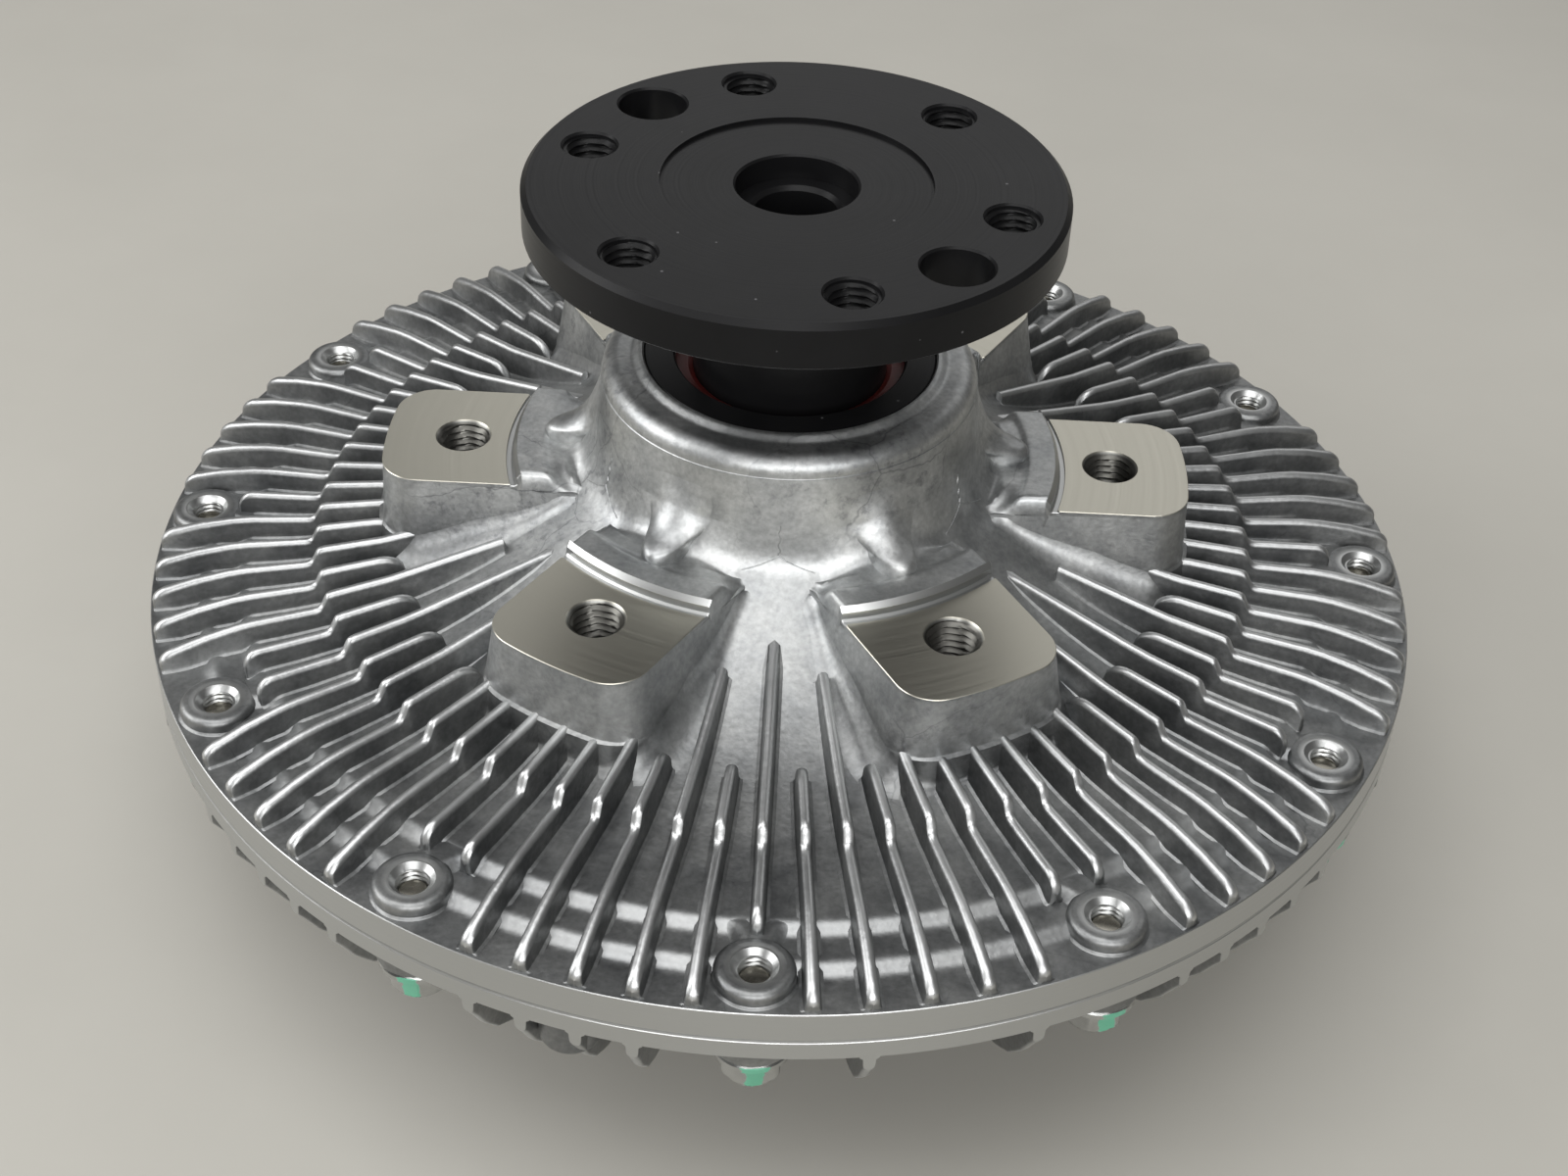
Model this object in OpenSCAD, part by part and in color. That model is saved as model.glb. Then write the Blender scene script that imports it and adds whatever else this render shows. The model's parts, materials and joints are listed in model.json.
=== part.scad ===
// Viscous fan clutch, standing on its front cover with the drive flange up.
// The origin is on the shaft's axis, in the plane that the cover's fins stand on.
// Threads are drawn as plain cylinders at their nominal diameter.

/* [Rim] */
// Outer diameter of the clutch
rim_d = 250; // [240:1:270]
// Height of the parting plane above the plane that the clutch stands on
parting_z = 51; // [49:0.5:58]
// Thickness of the housing's rim
housing_rim_t = 6.2; // [5.5:0.1:8]
// Thickness of the cover's rim
cover_rim_t = 4.7; // [4.2:0.1:6]
// Distance from the edge of the rim to the bolt circle
bolt_edge = 8; // [7.6:0.1:9]
// Number of bolts between housing and cover
bolt_count = 12; // [8:1:14]
// Thread diameter of the cover bolts
bolt_d = 6; // [5:0.5:6]
// Length of the cover bolts under the head
bolt_l = 14; // [12.5:0.5:16]
// Width across the flats of the bolt heads
bolt_af = 10; // [8:0.5:11]
// Diameter of the bolts' flange
bolt_flange_d = 13.4; // [12.5:0.1:14.5]
// Height of the bosses on the housing's rim
boss_h = 2.8; // [2:0.1:3.6]
// Diameter of those bosses at the foot
boss_d = 14; // [12:0.1:14.6]
// Height of the bolt seats under the cover's rim
cover_boss_h = 3; // [2:0.1:4]

/* [Hub] */
// Height of the hub's mouth above the parting plane
hub_h = 53.3; // [50:0.1:60]
// Wall of the hub round the bearing
hub_wall = 5; // [4:0.1:7]
// Width of the lip that holds the bearing in
lip_w = 3; // [2:0.1:4.5]
// Thickness of that lip
lip_t = 6; // [5.4:0.1:8]
// Draft of the hub's wall, as added radius at its foot
hub_draft = 3; // [1:0.1:4]
// Height of the flare from the deck to the hub
flare_h = 21.8; // [18:0.1:24]
// How hollow the flare is
flare_power = 2.45; // [2:0.05:3]
// Thickness of the housing's and the cover's walls
wall_t = 5; // [4:0.1:6]

/* [Fan pads] */
// Number of pads that carry the fan
pad_count = 6; // [4:1:6]
// Height of the pads above the parting plane
pad_h = 29.7; // [27:0.1:32]
// Bolt circle of the fan
pad_pcd = 127.5; // [124:0.5:131]
// Width of a pad
pad_w = 31.5; // [28:0.5:34]
// Radius of the pads' outer edge
pad_outer_r = 78.7; // [77:0.1:81]
// Radius of a pad's outer corners
pad_corner_r = 7.5; // [5:0.5:10]
// Thread diameter of the fan bolts
pad_bolt_d = 10; // [8:0.5:10]
// Depth of the fan bolts' thread
pad_bolt_l = 16; // [13:0.5:16.5]
// Radius of the register that centres the fan
register_r = 53.5; // [52:0.1:55]
// Height of the register above the pads
register_h = 2.5; // [1.5:0.1:3.5]

/* [Fins] */
// Number of fins on each casting
fin_count = 80; // [60:4:84]
// Thickness of a fin
fin_t = 2; // [1.6:0.1:2.4]
// Height of the outer fins above the deck
fin_h = 3.8; // [3:0.1:5]
// Height of the step between the outer and the inner fins
fin_step_h = 3.3; // [2.5:0.1:4]

/* [Drive shaft] */
// Diameter of the drive flange
flange_d = 100; // [94:1:110]
// Thickness of the drive flange
flange_t = 8.7; // [8:0.1:12]
// Gap between the hub's mouth and the flange
neck_gap = 27.2; // [22:0.1:34]
// Diameter of the neck
neck_d = 37; // [35:0.5:39]
// Bolt circle of the flange
flange_pcd = 80; // [76:0.5:82]
// Thread diameter of the flange bolts
flange_bolt_d = 10; // [8:0.5:12]
// Number of flange bolts
flange_bolts = 6; // [4:2:6]
// Diameter of the two plain holes
plain_hole_d = 13; // [11:0.5:13]
// Angle of the first flange bolt
flange_angle = 45.5; // [0:0.5:60]
// Diameter of the pilot bore
pilot_d = 22.5; // [18:0.5:26]
// Depth of the pilot bore under the flange's face
pilot_l = 5.5; // [3:0.1:8]
// Diameter of the shallow recess round it
recess_d = 50; // [42:1:60]
// Depth of that recess
recess_l = 0.7; // [0.4:0.1:1.2]
// Diameter of the blind hole under the pilot
core_d = 15.5; // [12:0.5:16]
// Depth of the blind hole under the flange's face
core_l = 24; // [16:1:30]

/* [Bearing] */
// Outside diameter of the bearing
bearing_od = 62; // [60:0.5:64]
// Bore of the bearing
bearing_id = 30; // [28:0.5:31]
// Width of the bearing
bearing_w = 23.8; // [22.5:0.1:25]
// Ball diameter
ball_d = 8.5; // [7.5:0.1:8.8]
// Balls in a row
ball_count = 11; // [8:1:12]

/* [Rotor] */
// Diameter of the shaft in the rotor
rotor_seat_d = 26; // [22:0.5:28]
// Thickness of the rotor's disc
rotor_t = 6; // [5:0.1:7]
// Number of lands on the rotor
land_count = 4; // [2:1:4]
// Distance from one land to the next
land_pitch = 8; // [7:0.1:8]
// Thickness of a land
land_t = 3; // [2:0.1:3.2]
// Height of a land
land_h = 7; // [5:0.1:7.5]
// Gap above and below the rotor
rotor_gap = 1.5; // [1:0.1:2]
// Gap between the rotor's edge and the chamber
rotor_edge_gap = 2; // [1.2:0.1:3]

/* [Reservoir and valve] */
// Depth of the fluid reservoir
reservoir_h = 12; // [11:0.1:12.5]
// Thickness of the partition plate
plate_t = 1.6; // [1.2:0.1:2]
// Diameter of the feed port in the plate
port_d = 9; // [6:0.5:10]
// Distance of the feed port from the axis
port_r = 44; // [36:1:48]
// Diameter of the valve shaft
valve_d = 8; // [7:0.5:9]
// Thickness of the bimetal strip
coil_t = 1.1; // [0.8:0.1:1.4]
// Width of the bimetal strip
coil_w = 8.5; // [7:0.1:9]
// Turns of the bimetal coil
coil_turns = 4; // [3:1:5]
// Outer radius of the bimetal coil
coil_r = 24; // [22:0.5:25]

/* [Clearances] */
// Gap round a part that is seated in another
seat_gap = 0.02; // [0.01:0.01:0.05]
// Gap round a part that turns in another
run_gap = 0.06; // [0.03:0.01:0.1]
// Gap where a part is only kept clear
free_gap = 0.4; // [0.3:0.05:0.6]
// Chamfer of turned edges
edge = 0.4; // [0.2:0.1:0.6]

/* [Hidden] */
$fn = 96;

// Length by which a tool runs past the face that it cuts
cut = 1;

// Radii of the rim, from the outside in
rim_r = rim_d / 2;
bolt_r = rim_r - bolt_edge;
ramp_run = 2.2;
chamber_edge = 10;
chamber_r = bolt_r - chamber_edge;
deck_r = chamber_r;

// Heights of the housing
rim_top_z = parting_z + housing_rim_t;
deck_z = rim_top_z + boss_h;
terrace_z = rim_top_z + boss_h / 2;
mouth_z = parting_z + hub_h;
pad_z = parting_z + pad_h;
ceiling_h = 3.5;
ceiling_z = parting_z + ceiling_h;

// Bearing, its seat and its retaining ring
bearing_r = bearing_od / 2;
bearing_z1 = mouth_z - lip_t;
bearing_z0 = bearing_z1 - bearing_w;
bearing_mid_z = bearing_z0 + bearing_w / 2;
race_wall = 4.5;
outer_race_r = bearing_r - race_wall;
inner_race_r = bearing_id / 2 + race_wall;
ball_pcr = (outer_race_r + inner_race_r) / 2;
row_factor = 0.66;
ball_row = ball_d * row_factor;
race_gap = 0.1;
shield_t = 0.9;
shield_inset = 0.5;
cage_t = 3;
cage_l = 2 * ball_row + ball_d;
cage_gap = 0.2;
circlip_t = 2;
circlip_w = 4;
circlip_bite = 1.6;
circlip_z0 = bearing_z0 - circlip_t;

// Hub and flare
hub_r = bearing_r + hub_wall;
hub_foot_r = hub_r + hub_draft;
mouth_r = bearing_r - lip_w;
shoulder_r = 4;
shoulder_z = mouth_z - shoulder_r;
lip_z = (mouth_z + bearing_z1) / 2;
flare_steps = 8;
arc_steps = 5;
bore_lead = 1.5;
bore_foot_z = circlip_z0 - bore_lead - cut;
pocket_edge = 1;
pocket_outer_r = pad_outer_r + pocket_edge;
pocket_inner_r = bearing_r + wall_t;
pocket_inner_z = bore_foot_z - wall_t;

// Fan pads
pad_hole_r = pad_bolt_d / 2;
pad_draft = 1.2;
pad_sink = 0.7;
pad_foot_z = flare_z(pad_outer_r + pad_draft) - pad_sink;
pad_top_z = pad_z + register_h;
block_t = 7;
block_r = register_r - block_t;
relief_w = 1.4;
relief_h = 0.4;
hole_chamfer = 0.4;
gusset_r = 4.5;
gusset_web = 8;
gusset_drop = 7.2;

// Fins of the housing
fin_pitch = 360 / fin_count;
fin_front = 270;
fin_end_gap = 1;
fin_end_r = rim_r - fin_end_gap;
fin_sink = 0.8;
step_in = 15.4;
step_r = deck_r - step_in;
step_run = 1.7;
fin_top_z = deck_z + fin_h;
fin_inner_z = fin_top_z + fin_step_h;
fin_short_in = 2.7;
fin_short_r = pad_outer_r - fin_short_in;
fin_long_in = 7;
fin_long_r = hub_foot_r + fin_long_in;
fin_boss_gap = 7;
fin_boss_r = bolt_r - fin_boss_gap;
fin_rise = 0.9;
fin_long_rise = 5.1;
// Rounded ends of the fins: distance in from the end, fall under the crest
fin_nose = [[0.5, 1.9], [2.5, 0]];
fin_tip = [[2, 0], [0.6, 1.2]];
fin_fall = [[15, 0], [8, 1.3], [2.2, 3.3], [0.4, 5]];

// Bosses on the rim
boss_draft = 0.8;
boss_round = 1;
boss_web_in = 2;
boss_web_w = boss_d - 2 * boss_web_in;

// Drive shaft
neck_r = neck_d / 2;
flange_z0 = mouth_z + neck_gap;
flange_z1 = flange_z0 + flange_t;
neck_fillet = 4;
dust_gap = 3.5;
dust_r = neck_r + dust_gap;
flange_chamfer = 1;
drill_tip = 0.6;
seat_r = bearing_id / 2;
rotor_seat_r = rotor_seat_d / 2;
shaft_ring_t = 1.6;
shaft_ring_w = 4;
shaft_ring_bite = 1.2;
shaft_tail = 2.4;

// Rotor and chambers, from the ceiling down
rotor_z1 = ceiling_z - rotor_gap;
rotor_z0 = rotor_z1 - rotor_t;
rotor_r = chamber_r - rotor_edge_gap;
rotor_hub_wall = 7;
rotor_hub_r = rotor_seat_r + rotor_hub_wall;
rotor_fillet = 10;
land_z0 = rotor_z0 - land_h;
floor_z = land_z0 - rotor_gap;
cover_land_z1 = rotor_z0 - rotor_gap;
shaft_z0 = rotor_z0 - shaft_ring_t - shaft_tail;
passage_d = 6;
passage_count = 6;

// Cover, from the floor of the working chamber down
plate_z0 = floor_z - plate_t;
reservoir_z0 = plate_z0 - reservoir_h;
skin_z = reservoir_z0 - wall_t;
chamber_skin_z = floor_z - wall_t;
labyrinth_r = rotor_r - (land_count - 1) * land_pitch - land_t;
plate_edge = 4;
plate_r = labyrinth_r - plate_edge;
screw_d = 4;
screw_edge = 4;
screw_head_d = 7;
screw_head_h = 2.4;
screw_l = 9;
screw_r = plate_r - screw_edge;
screw_count = 6;
reservoir_r = screw_r - screw_edge;
seal_d = 1.9;
seal_groove_w = 2.6;
seal_edge = 3;
seal_r = chamber_r + seal_edge;
cover_rim_z = parting_z - cover_rim_t;
bolt_seat_z = cover_rim_z - cover_boss_h;
bolt_play = 0.3;
bolt_hole_r = bolt_d / 2 + bolt_play;
bolt_flange_t = 1.5;
bolt_head_h = 7;
socket_r = 8.5;
seat_rim = 0.7;
cover_boss_d = bolt_flange_d + 2 * seat_rim;
pocket_r = bolt_flange_d / 2 + free_gap;
turn_in = 1;
turn_h = 3;

// Coil well under the cover
valve_r = valve_d / 2;
bush_t = 3;
bush_r = valve_r + bush_t;
bush_flange_t = 1.5;
bush_flange_w = 2;
spigot_wall = 5;
spigot_r = bush_r + spigot_wall;
spigot_h = 5;
spigot_z0 = skin_z - spigot_h;
spigot_z1 = reservoir_z0 + spigot_h;
coil_gap = 2.5;
coil_z1 = spigot_z0 - coil_gap;
coil_z0 = coil_z1 - coil_w;
coil_lead = 3;
coil_start_r = valve_r + coil_lead;
coil_tail = 4.6;
coil_steps = 24;
coil_room = 6;
well_r = coil_r + coil_room;
well_wall = 3.5;
coil_guard = 0.9;
well_z0 = coil_z0 - coil_guard;

// Fins of the cover: they stand on their inner stretch
foot_rise_run = 10;
foot_r0 = well_r + well_wall + foot_rise_run;
foot_in = 12;
foot_r1 = plate_r - foot_in;
foot_fall = 4;
short_start_r = foot_r1 + foot_fall;
cover_step_out = 1;
cover_step_r = step_r + cover_step_out;
cover_step_h = 6;
cover_fin_h = 9.5;
cover_fin_z = chamber_skin_z - cover_fin_h;
cover_inner_z = cover_fin_z - cover_step_h;
cover_cut_gap = 11;
cover_fin_cut_r = bolt_r - cover_cut_gap;
cover_fin_root = wall_t / 2;
// Outer ends of the cover's fins: distance in from the rim, depth under the rim
cover_fall = [[17, 20.3], [9, 15.8], [4.5, 10.5], [2, 6], [-cut, 4.5]];
// Ends of those that stop at a bolt: distance in from the end, fall from the crest
cover_tip = [[3, 1], [0, 4]];
lug_angle = 255;
lug_d = 11;
lug_h = 8;
plain_from = 281;
plain_to = 290;

// Valve inside the reservoir
arm_t = 1.6;
arm_w = 16;
arm_z1 = plate_z0 - free_gap;
arm_z0 = arm_z1 - arm_t;
arm_lap = 3;
arm_l = port_r + port_d / 2 + arm_lap;
arm_eye = 2;
collar_z0 = spigot_z1 + bush_flange_t + free_gap;
collar_w = 3;
collar_r = valve_r + collar_w;
ring_d = 1;
ring_z = skin_z;
slot_gap = 0.1;
fork_w = 2.8;
fork_h = 3;
bracket_t = 1.6;
bracket_w = 19.6;
bracket_in = 5.5;
bracket_x0 = coil_r - bracket_in;
bracket_x1 = coil_r + coil_t + fork_w;
bracket_screw_in = 1.5;
bracket_screw_x = coil_r - bracket_screw_in;
bracket_screw_y = 6.5;

// Height of the flare's surface at radius r
function flare_z(r) = deck_z + flare_h * pow((deck_r - r) / (deck_r - hub_foot_r), flare_power);

// Points of an arc in a profile
function arc(x, y, r, a0, a1) =
  [for (i = [0:arc_steps]) let (a = a0 + (a1 - a0) * i / arc_steps) [x + r * cos(a), y + r * sin(a)]];

// Angle from direction a to the nearest of n evenly spread directions
function off_nearest(a, n) = abs((a + 180 / n) % (360 / n) - 180 / n);

// Distance of a fin at angle a from the nearest bolt's axis
function bolt_distance(a) = bolt_r * sin(off_nearest(a, bolt_count));

// Number of the fin nearest to the middle of the gap between two pads
function gap_fin(a) =
  let (gap = 360 / pad_count)
  round((floor((a - fin_front + gap / 2 + 360) / gap) * gap - 360) / fin_pitch);

// Every second fin, counted from the middle of its gap, runs in to the hub
function is_long(k) = (k - gap_fin(fin_front + k * fin_pitch)) % 2 == 0;

module around(n, start = 0) {
  for (i = [0:n - 1])
    rotate([0, 0, start + i * 360 / n])
      children();
}

module ring(r0, r1, z0, z1) {
  rotate_extrude()
    translate([r0, z0])
      square([r1 - r0, z1 - z0]);
}

// A plate that stands on the axis, with its outline in radius and height
module radial_plate(outline, t) {
  rotate([90, 0, 0])
    linear_extrude(height = t, center = true)
      polygon(outline);
}

// A bored hole with a chamfered mouth at its top
module hole_down(r, depth, tip) {
  translate([0, 0, -depth])
    cylinder(r = r, h = depth + cut);
  translate([0, 0, -depth - tip])
    cylinder(r1 = 0, r2 = r, h = tip);
  translate([0, 0, -hole_chamfer])
    cylinder(r1 = r, r2 = r + hole_chamfer + cut, h = hole_chamfer + cut);
}

// Housing: section of the casting without fins, pads and bosses
function housing_section() = concat(
  [
    [rim_r - edge, parting_z],
    [rim_r, parting_z + edge],
    [rim_r, rim_top_z - edge],
    [rim_r - edge, rim_top_z],
    [bolt_r, rim_top_z],
    [bolt_r - ramp_run, terrace_z],
    [deck_r + ramp_run, terrace_z]
  ],
  [
    for (i = [0:flare_steps])
      let (r = deck_r - (deck_r - hub_foot_r) * i / flare_steps)
        [r, flare_z(r)]
  ],
  arc(hub_r - shoulder_r, shoulder_z, shoulder_r, 0, 90),
  [
    [mouth_r + edge, mouth_z],
    [mouth_r, mouth_z - edge],
    [mouth_r, bearing_z1],
    [bearing_r, bearing_z1],
    [bearing_r, bearing_z0],
    [bearing_r + circlip_bite + seat_gap, bearing_z0],
    [bearing_r + circlip_bite + seat_gap, circlip_z0 - seat_gap],
    [bearing_r, circlip_z0 - seat_gap],
    [bearing_r, bore_foot_z],
    [bearing_r + bore_lead, bore_foot_z - bore_lead],
    [pocket_inner_r, pocket_inner_z],
    [pocket_outer_r, ceiling_z],
    [chamber_r, ceiling_z],
    [chamber_r, parting_z]
  ]
);

// Outline of a fin from its inner to its outer end
function housing_fin(a, long) = concat(
  long
    ? [[fin_long_r, fin_inner_z + fin_rise + fin_long_rise], [pocket_outer_r, fin_inner_z + fin_rise]]
    : concat(
        [[fin_short_r, flare_z(fin_short_r) - fin_sink]],
        [for (p = fin_nose) [fin_short_r + p[0], fin_inner_z + fin_rise - p[1]]]
      ),
  [[step_r, fin_inner_z], [step_r + step_run, fin_top_z]],
  bolt_distance(a) < (boss_d + fin_t) / 2
    ? concat(
        [for (p = fin_tip) [fin_boss_r - p[0], fin_top_z - p[1]]],
        [[fin_boss_r, terrace_z], [fin_boss_r, rim_top_z - fin_sink]]
      )
    : concat(
        [for (p = fin_fall) [fin_end_r - p[0], fin_top_z - p[1]]],
        [[fin_end_r, rim_top_z - fin_sink]]
      ),
  [[pocket_outer_r, rim_top_z - fin_sink]],
  long ? [[fin_long_r, pocket_inner_z + wall_t]] : []
);

// Plan of a pad, with its two outer corners rounded
function pad_plan() =
  let (
    c = pad_outer_r - pad_corner_r,
    v = pad_w / 2 - pad_corner_r,
    u = sqrt(c * c - v * v),
    turn = asin(v / c),
    inner = block_r - 2 * cut,
    outer = pad_outer_r + 3 * pad_draft
  )
  concat(
    [[inner, -pad_w / 2]],
    arc(u, -v, pad_corner_r, -90, -turn),
    [[outer, -outer * tan(turn)], [outer, outer * tan(turn)]],
    arc(u, v, pad_corner_r, turn, 90),
    [[inner, pad_w / 2]]
  );

// Section that all pads share: outer wall, face, relief, register and block
function pad_section() = [
  [block_r, pad_foot_z],
  [pad_outer_r + pad_draft, pad_foot_z],
  [pad_outer_r, pad_z],
  [register_r + relief_w, pad_z],
  [register_r + relief_w, pad_z - relief_h],
  [register_r, pad_z - relief_h],
  [register_r, pad_top_z],
  [block_r + edge, pad_top_z],
  [block_r, pad_top_z - edge]
];

// Sides of a pad, seen along its axis, with draft
function pad_sides() = [
  [-pad_w / 2 - pad_draft, pad_foot_z - cut],
  [pad_w / 2 + pad_draft, pad_foot_z - cut],
  [pad_w / 2 - edge, pad_top_z + cut],
  [-pad_w / 2 + edge, pad_top_z + cut]
];

module pads() {
  intersection() {
    rotate_extrude()
      polygon(pad_section());
    around(pad_count)
      intersection() {
        translate([0, 0, pad_foot_z - cut])
          linear_extrude(height = pad_top_z - pad_foot_z + 2 * cut)
            polygon(pad_plan());
        rotate([90, 0, 90])
          linear_extrude(height = pad_outer_r + pad_w)
            polygon(pad_sides());
      }
  }
}

// Rib from the hub's wall to the block behind a pad, with a round back
module gusset() {
  run = block_r - hub_r + cut;
  start_z = pad_top_z + gusset_drop - gusset_r;
  slope = atan2(gusset_drop, run);
  translate([hub_r - cut, 0, start_z])
    rotate([0, 90 + slope, 0])
      cylinder(r = gusset_r, h = norm([run, gusset_drop]));
  translate([hub_r - cut + run, 0, start_z - gusset_drop])
    sphere(r = gusset_r);
  radial_plate([
    [hub_r - 2 * cut, start_z],
    [hub_r - 2 * cut, pad_foot_z + wall_t],
    [hub_r - cut + run, pad_foot_z + wall_t],
    [hub_r - cut + run, start_z - gusset_drop]
  ], gusset_web);
}

module rim_boss() {
  top_r = boss_d / 2 - boss_draft;
  translate([bolt_r, 0, 0])
    rotate_extrude()
      polygon(concat(
        [[0, rim_top_z - cut], [boss_d / 2, rim_top_z - cut]],
        arc(top_r - boss_round, deck_z - boss_round, boss_round, 0, 90),
        [[0, deck_z]]
      ));
  radial_plate([
    [deck_r - cut, rim_top_z - cut],
    [bolt_r, rim_top_z - cut],
    [bolt_r, deck_z - edge],
    [deck_r - cut, deck_z - edge]
  ], boss_web_w);
}

module housing() {
  color("#b9bab8")
    difference() {
      union() {
        rotate_extrude()
          polygon(housing_section());
        for (k = [0:fin_count - 1])
          let (a = fin_front + k * fin_pitch)
            rotate([0, 0, a])
              radial_plate(housing_fin(a, is_long(k)), fin_t);
        pads();
        around(pad_count)
          gusset();
        around(bolt_count)
          rim_boss();
      }
      around(pad_count)
        translate([pad_pcd / 2, 0, pad_z])
          hole_down(pad_hole_r, pad_bolt_l, pad_hole_r * drill_tip);
      around(bolt_count)
        translate([bolt_r, 0, 0]) {
          translate([0, 0, parting_z - cut])
            cylinder(r = bolt_d / 2 + seat_gap, h = deck_z - parting_z + 2 * cut);
          translate([0, 0, deck_z - hole_chamfer])
            cylinder(r1 = bolt_d / 2, r2 = bolt_d / 2 + hole_chamfer + cut, h = hole_chamfer + cut);
        }
    }
}

// Cover: section of the casting without fins and bosses
function cover_section() = [
  [bush_r, spigot_z0],
  [spigot_r, spigot_z0],
  [spigot_r, skin_z],
  [well_r, skin_z],
  [well_r, well_z0],
  [well_r + well_wall, well_z0],
  [well_r + well_wall, skin_z],
  [plate_r, skin_z],
  [plate_r + wall_t, chamber_skin_z],
  [chamber_r - wall_t, chamber_skin_z],
  [chamber_r + wall_t - turn_in, chamber_skin_z + turn_h],
  [chamber_r + wall_t, cover_rim_z],
  [rim_r + cut, cover_rim_z],
  [rim_r + cut, parting_z],
  [seal_r + seal_groove_w / 2, parting_z],
  [seal_r + seal_groove_w / 2, parting_z - seal_d],
  [seal_r - seal_groove_w / 2, parting_z - seal_d],
  [seal_r - seal_groove_w / 2, parting_z],
  [chamber_r, parting_z],
  [chamber_r, floor_z],
  [plate_r + free_gap, floor_z],
  [plate_r + free_gap, plate_z0],
  [reservoir_r, plate_z0],
  [reservoir_r, reservoir_z0],
  [spigot_r, reservoir_z0],
  [spigot_r, spigot_z1],
  [bush_r, spigot_z1]
];

// Outline of a cover fin: foot, inner stretch, step and outer end
function cover_fin(a) = concat(
  [
    [well_r + well_wall / 2, skin_z + cover_fin_root],
    [well_r + well_wall / 2, well_z0 + cut],
    [well_r + well_wall + cut, well_z0],
    [foot_r0, 0],
    [foot_r1, 0],
    [plate_r, cover_inner_z - foot_fall],
    [cover_step_r, cover_inner_z],
    [cover_step_r + step_run, cover_fin_z]
  ],
  bolt_distance(a) < socket_r + fin_t / 2 || (a % 360 > plain_from && a % 360 < plain_to)
    ? concat(
        [for (p = cover_tip) [cover_fin_cut_r - p[0], cover_fin_z + p[1]]],
        [[cover_fin_cut_r, chamber_skin_z + cover_fin_root]]
      )
    : concat(
        [for (p = cover_fall) [rim_r - p[0], cover_rim_z - p[1]]],
        [
          [rim_r + cut, cover_rim_z + cover_rim_t / 3],
          [chamber_r + wall_t + cut, cover_rim_z + cover_rim_t / 3],
          [chamber_r + cover_fin_root, chamber_skin_z + cover_fin_root]
        ]
      ),
  [
    [plate_r + cover_fin_root, chamber_skin_z + cover_fin_root],
    [screw_r, plate_z0 - wall_t],
    [screw_r, skin_z + cover_fin_root]
  ]
);

// Annular lands that reach up between those of the rotor
module cover_lands() {
  for (i = [0:land_count - 2])
    let (r = rotor_r - land_t / 2 - land_pitch * (i + 0.5))
      ring(r - land_t / 2, r + land_t / 2, floor_z - cut, cover_land_z1);
}

module cover() {
  color("#aeb0af")
    difference() {
      intersection() {
        union() {
          rotate_extrude()
            polygon(cover_section());
          for (k = [0:2:fin_count - 1])
            let (a = fin_front + k * fin_pitch)
              rotate([0, 0, a])
                radial_plate(cover_fin(a), fin_t);
          for (k = [1:2:fin_count - 1])
            let (a = fin_front + k * fin_pitch)
              rotate([0, 0, a])
                intersection() {
                  radial_plate(cover_fin(a), fin_t);
                  ring(short_start_r, rim_r + 2 * cut, -cut, parting_z);
                }
          cover_lands();
          around(bolt_count)
            translate([bolt_r, 0, bolt_seat_z])
              cylinder(d = cover_boss_d, h = cover_boss_h + cut);
          rotate([0, 0, lug_angle])
            translate([rim_r - lug_d / 2 - edge, 0, cover_rim_z - lug_h])
              cylinder(d = lug_d, h = lug_h + cut);
        }
        rotate_extrude()
          polygon([
            [0, -cut],
            [rim_r, -cut],
            [rim_r, parting_z - edge],
            [rim_r - edge, parting_z],
            [0, parting_z]
          ]);
      }
      around(bolt_count)
        translate([bolt_r, 0, 0]) {
          translate([0, 0, bolt_seat_z - cut])
            cylinder(r = bolt_hole_r, h = parting_z - bolt_seat_z + 2 * cut);
          translate([0, 0, -cut])
            cylinder(r = pocket_r, h = bolt_seat_z + cut);
        }
      around(screw_count)
        translate([screw_r, 0, plate_z0 - screw_l])
          cylinder(r = screw_d / 2 + seat_gap, h = screw_l + cut);
      for (s = [-1, 1])
        translate([bracket_screw_x, s * bracket_screw_y, skin_z - cut])
          cylinder(r = screw_d / 2 + seat_gap, h = wall_t);
    }
}

module cover_bolts() {
  color("#b8b49a")
    around(bolt_count)
      translate([bolt_r, 0, bolt_seat_z]) {
        translate([0, 0, -bolt_head_h])
          cylinder(d = bolt_af / cos(30), h = bolt_head_h - bolt_flange_t + edge, $fn = 6);
        translate([0, 0, -bolt_flange_t])
          cylinder(d = bolt_flange_d, h = bolt_flange_t);
        cylinder(d = bolt_d, h = bolt_l - edge);
        translate([0, 0, bolt_l - edge])
          cylinder(d1 = bolt_d, d2 = bolt_d - 2 * edge, h = edge);
      }
}

module cover_seal() {
  color("#1c1c1c")
    rotate_extrude()
      translate([seal_r, parting_z - seal_d / 2])
        circle(d = seal_d - seat_gap);
}

module dust_ring() {
  color("#1a1a1b")
    rotate_extrude()
      polygon([
        [dust_r, lip_z],
        [mouth_r - seat_gap, lip_z],
        [mouth_r - seat_gap, mouth_z - 2 * edge],
        [mouth_r - edge, mouth_z - edge],
        [dust_r + edge, mouth_z - edge],
        [dust_r, mouth_z - 2 * edge]
      ]);
}

module lip_seal() {
  relief = 1;
  color("#6b1f1b")
    rotate_extrude()
      polygon([
        [mouth_r - seat_gap, bearing_z1],
        [outer_race_r + free_gap, bearing_z1],
        [outer_race_r - relief, bearing_z1 + relief],
        [neck_r + relief, bearing_z1 + relief],
        [neck_r + run_gap, bearing_z1 + 2 * relief],
        [neck_r + run_gap, lip_z - edge],
        [neck_r + relief, lip_z],
        [mouth_r - seat_gap, lip_z]
      ]);
}

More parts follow.
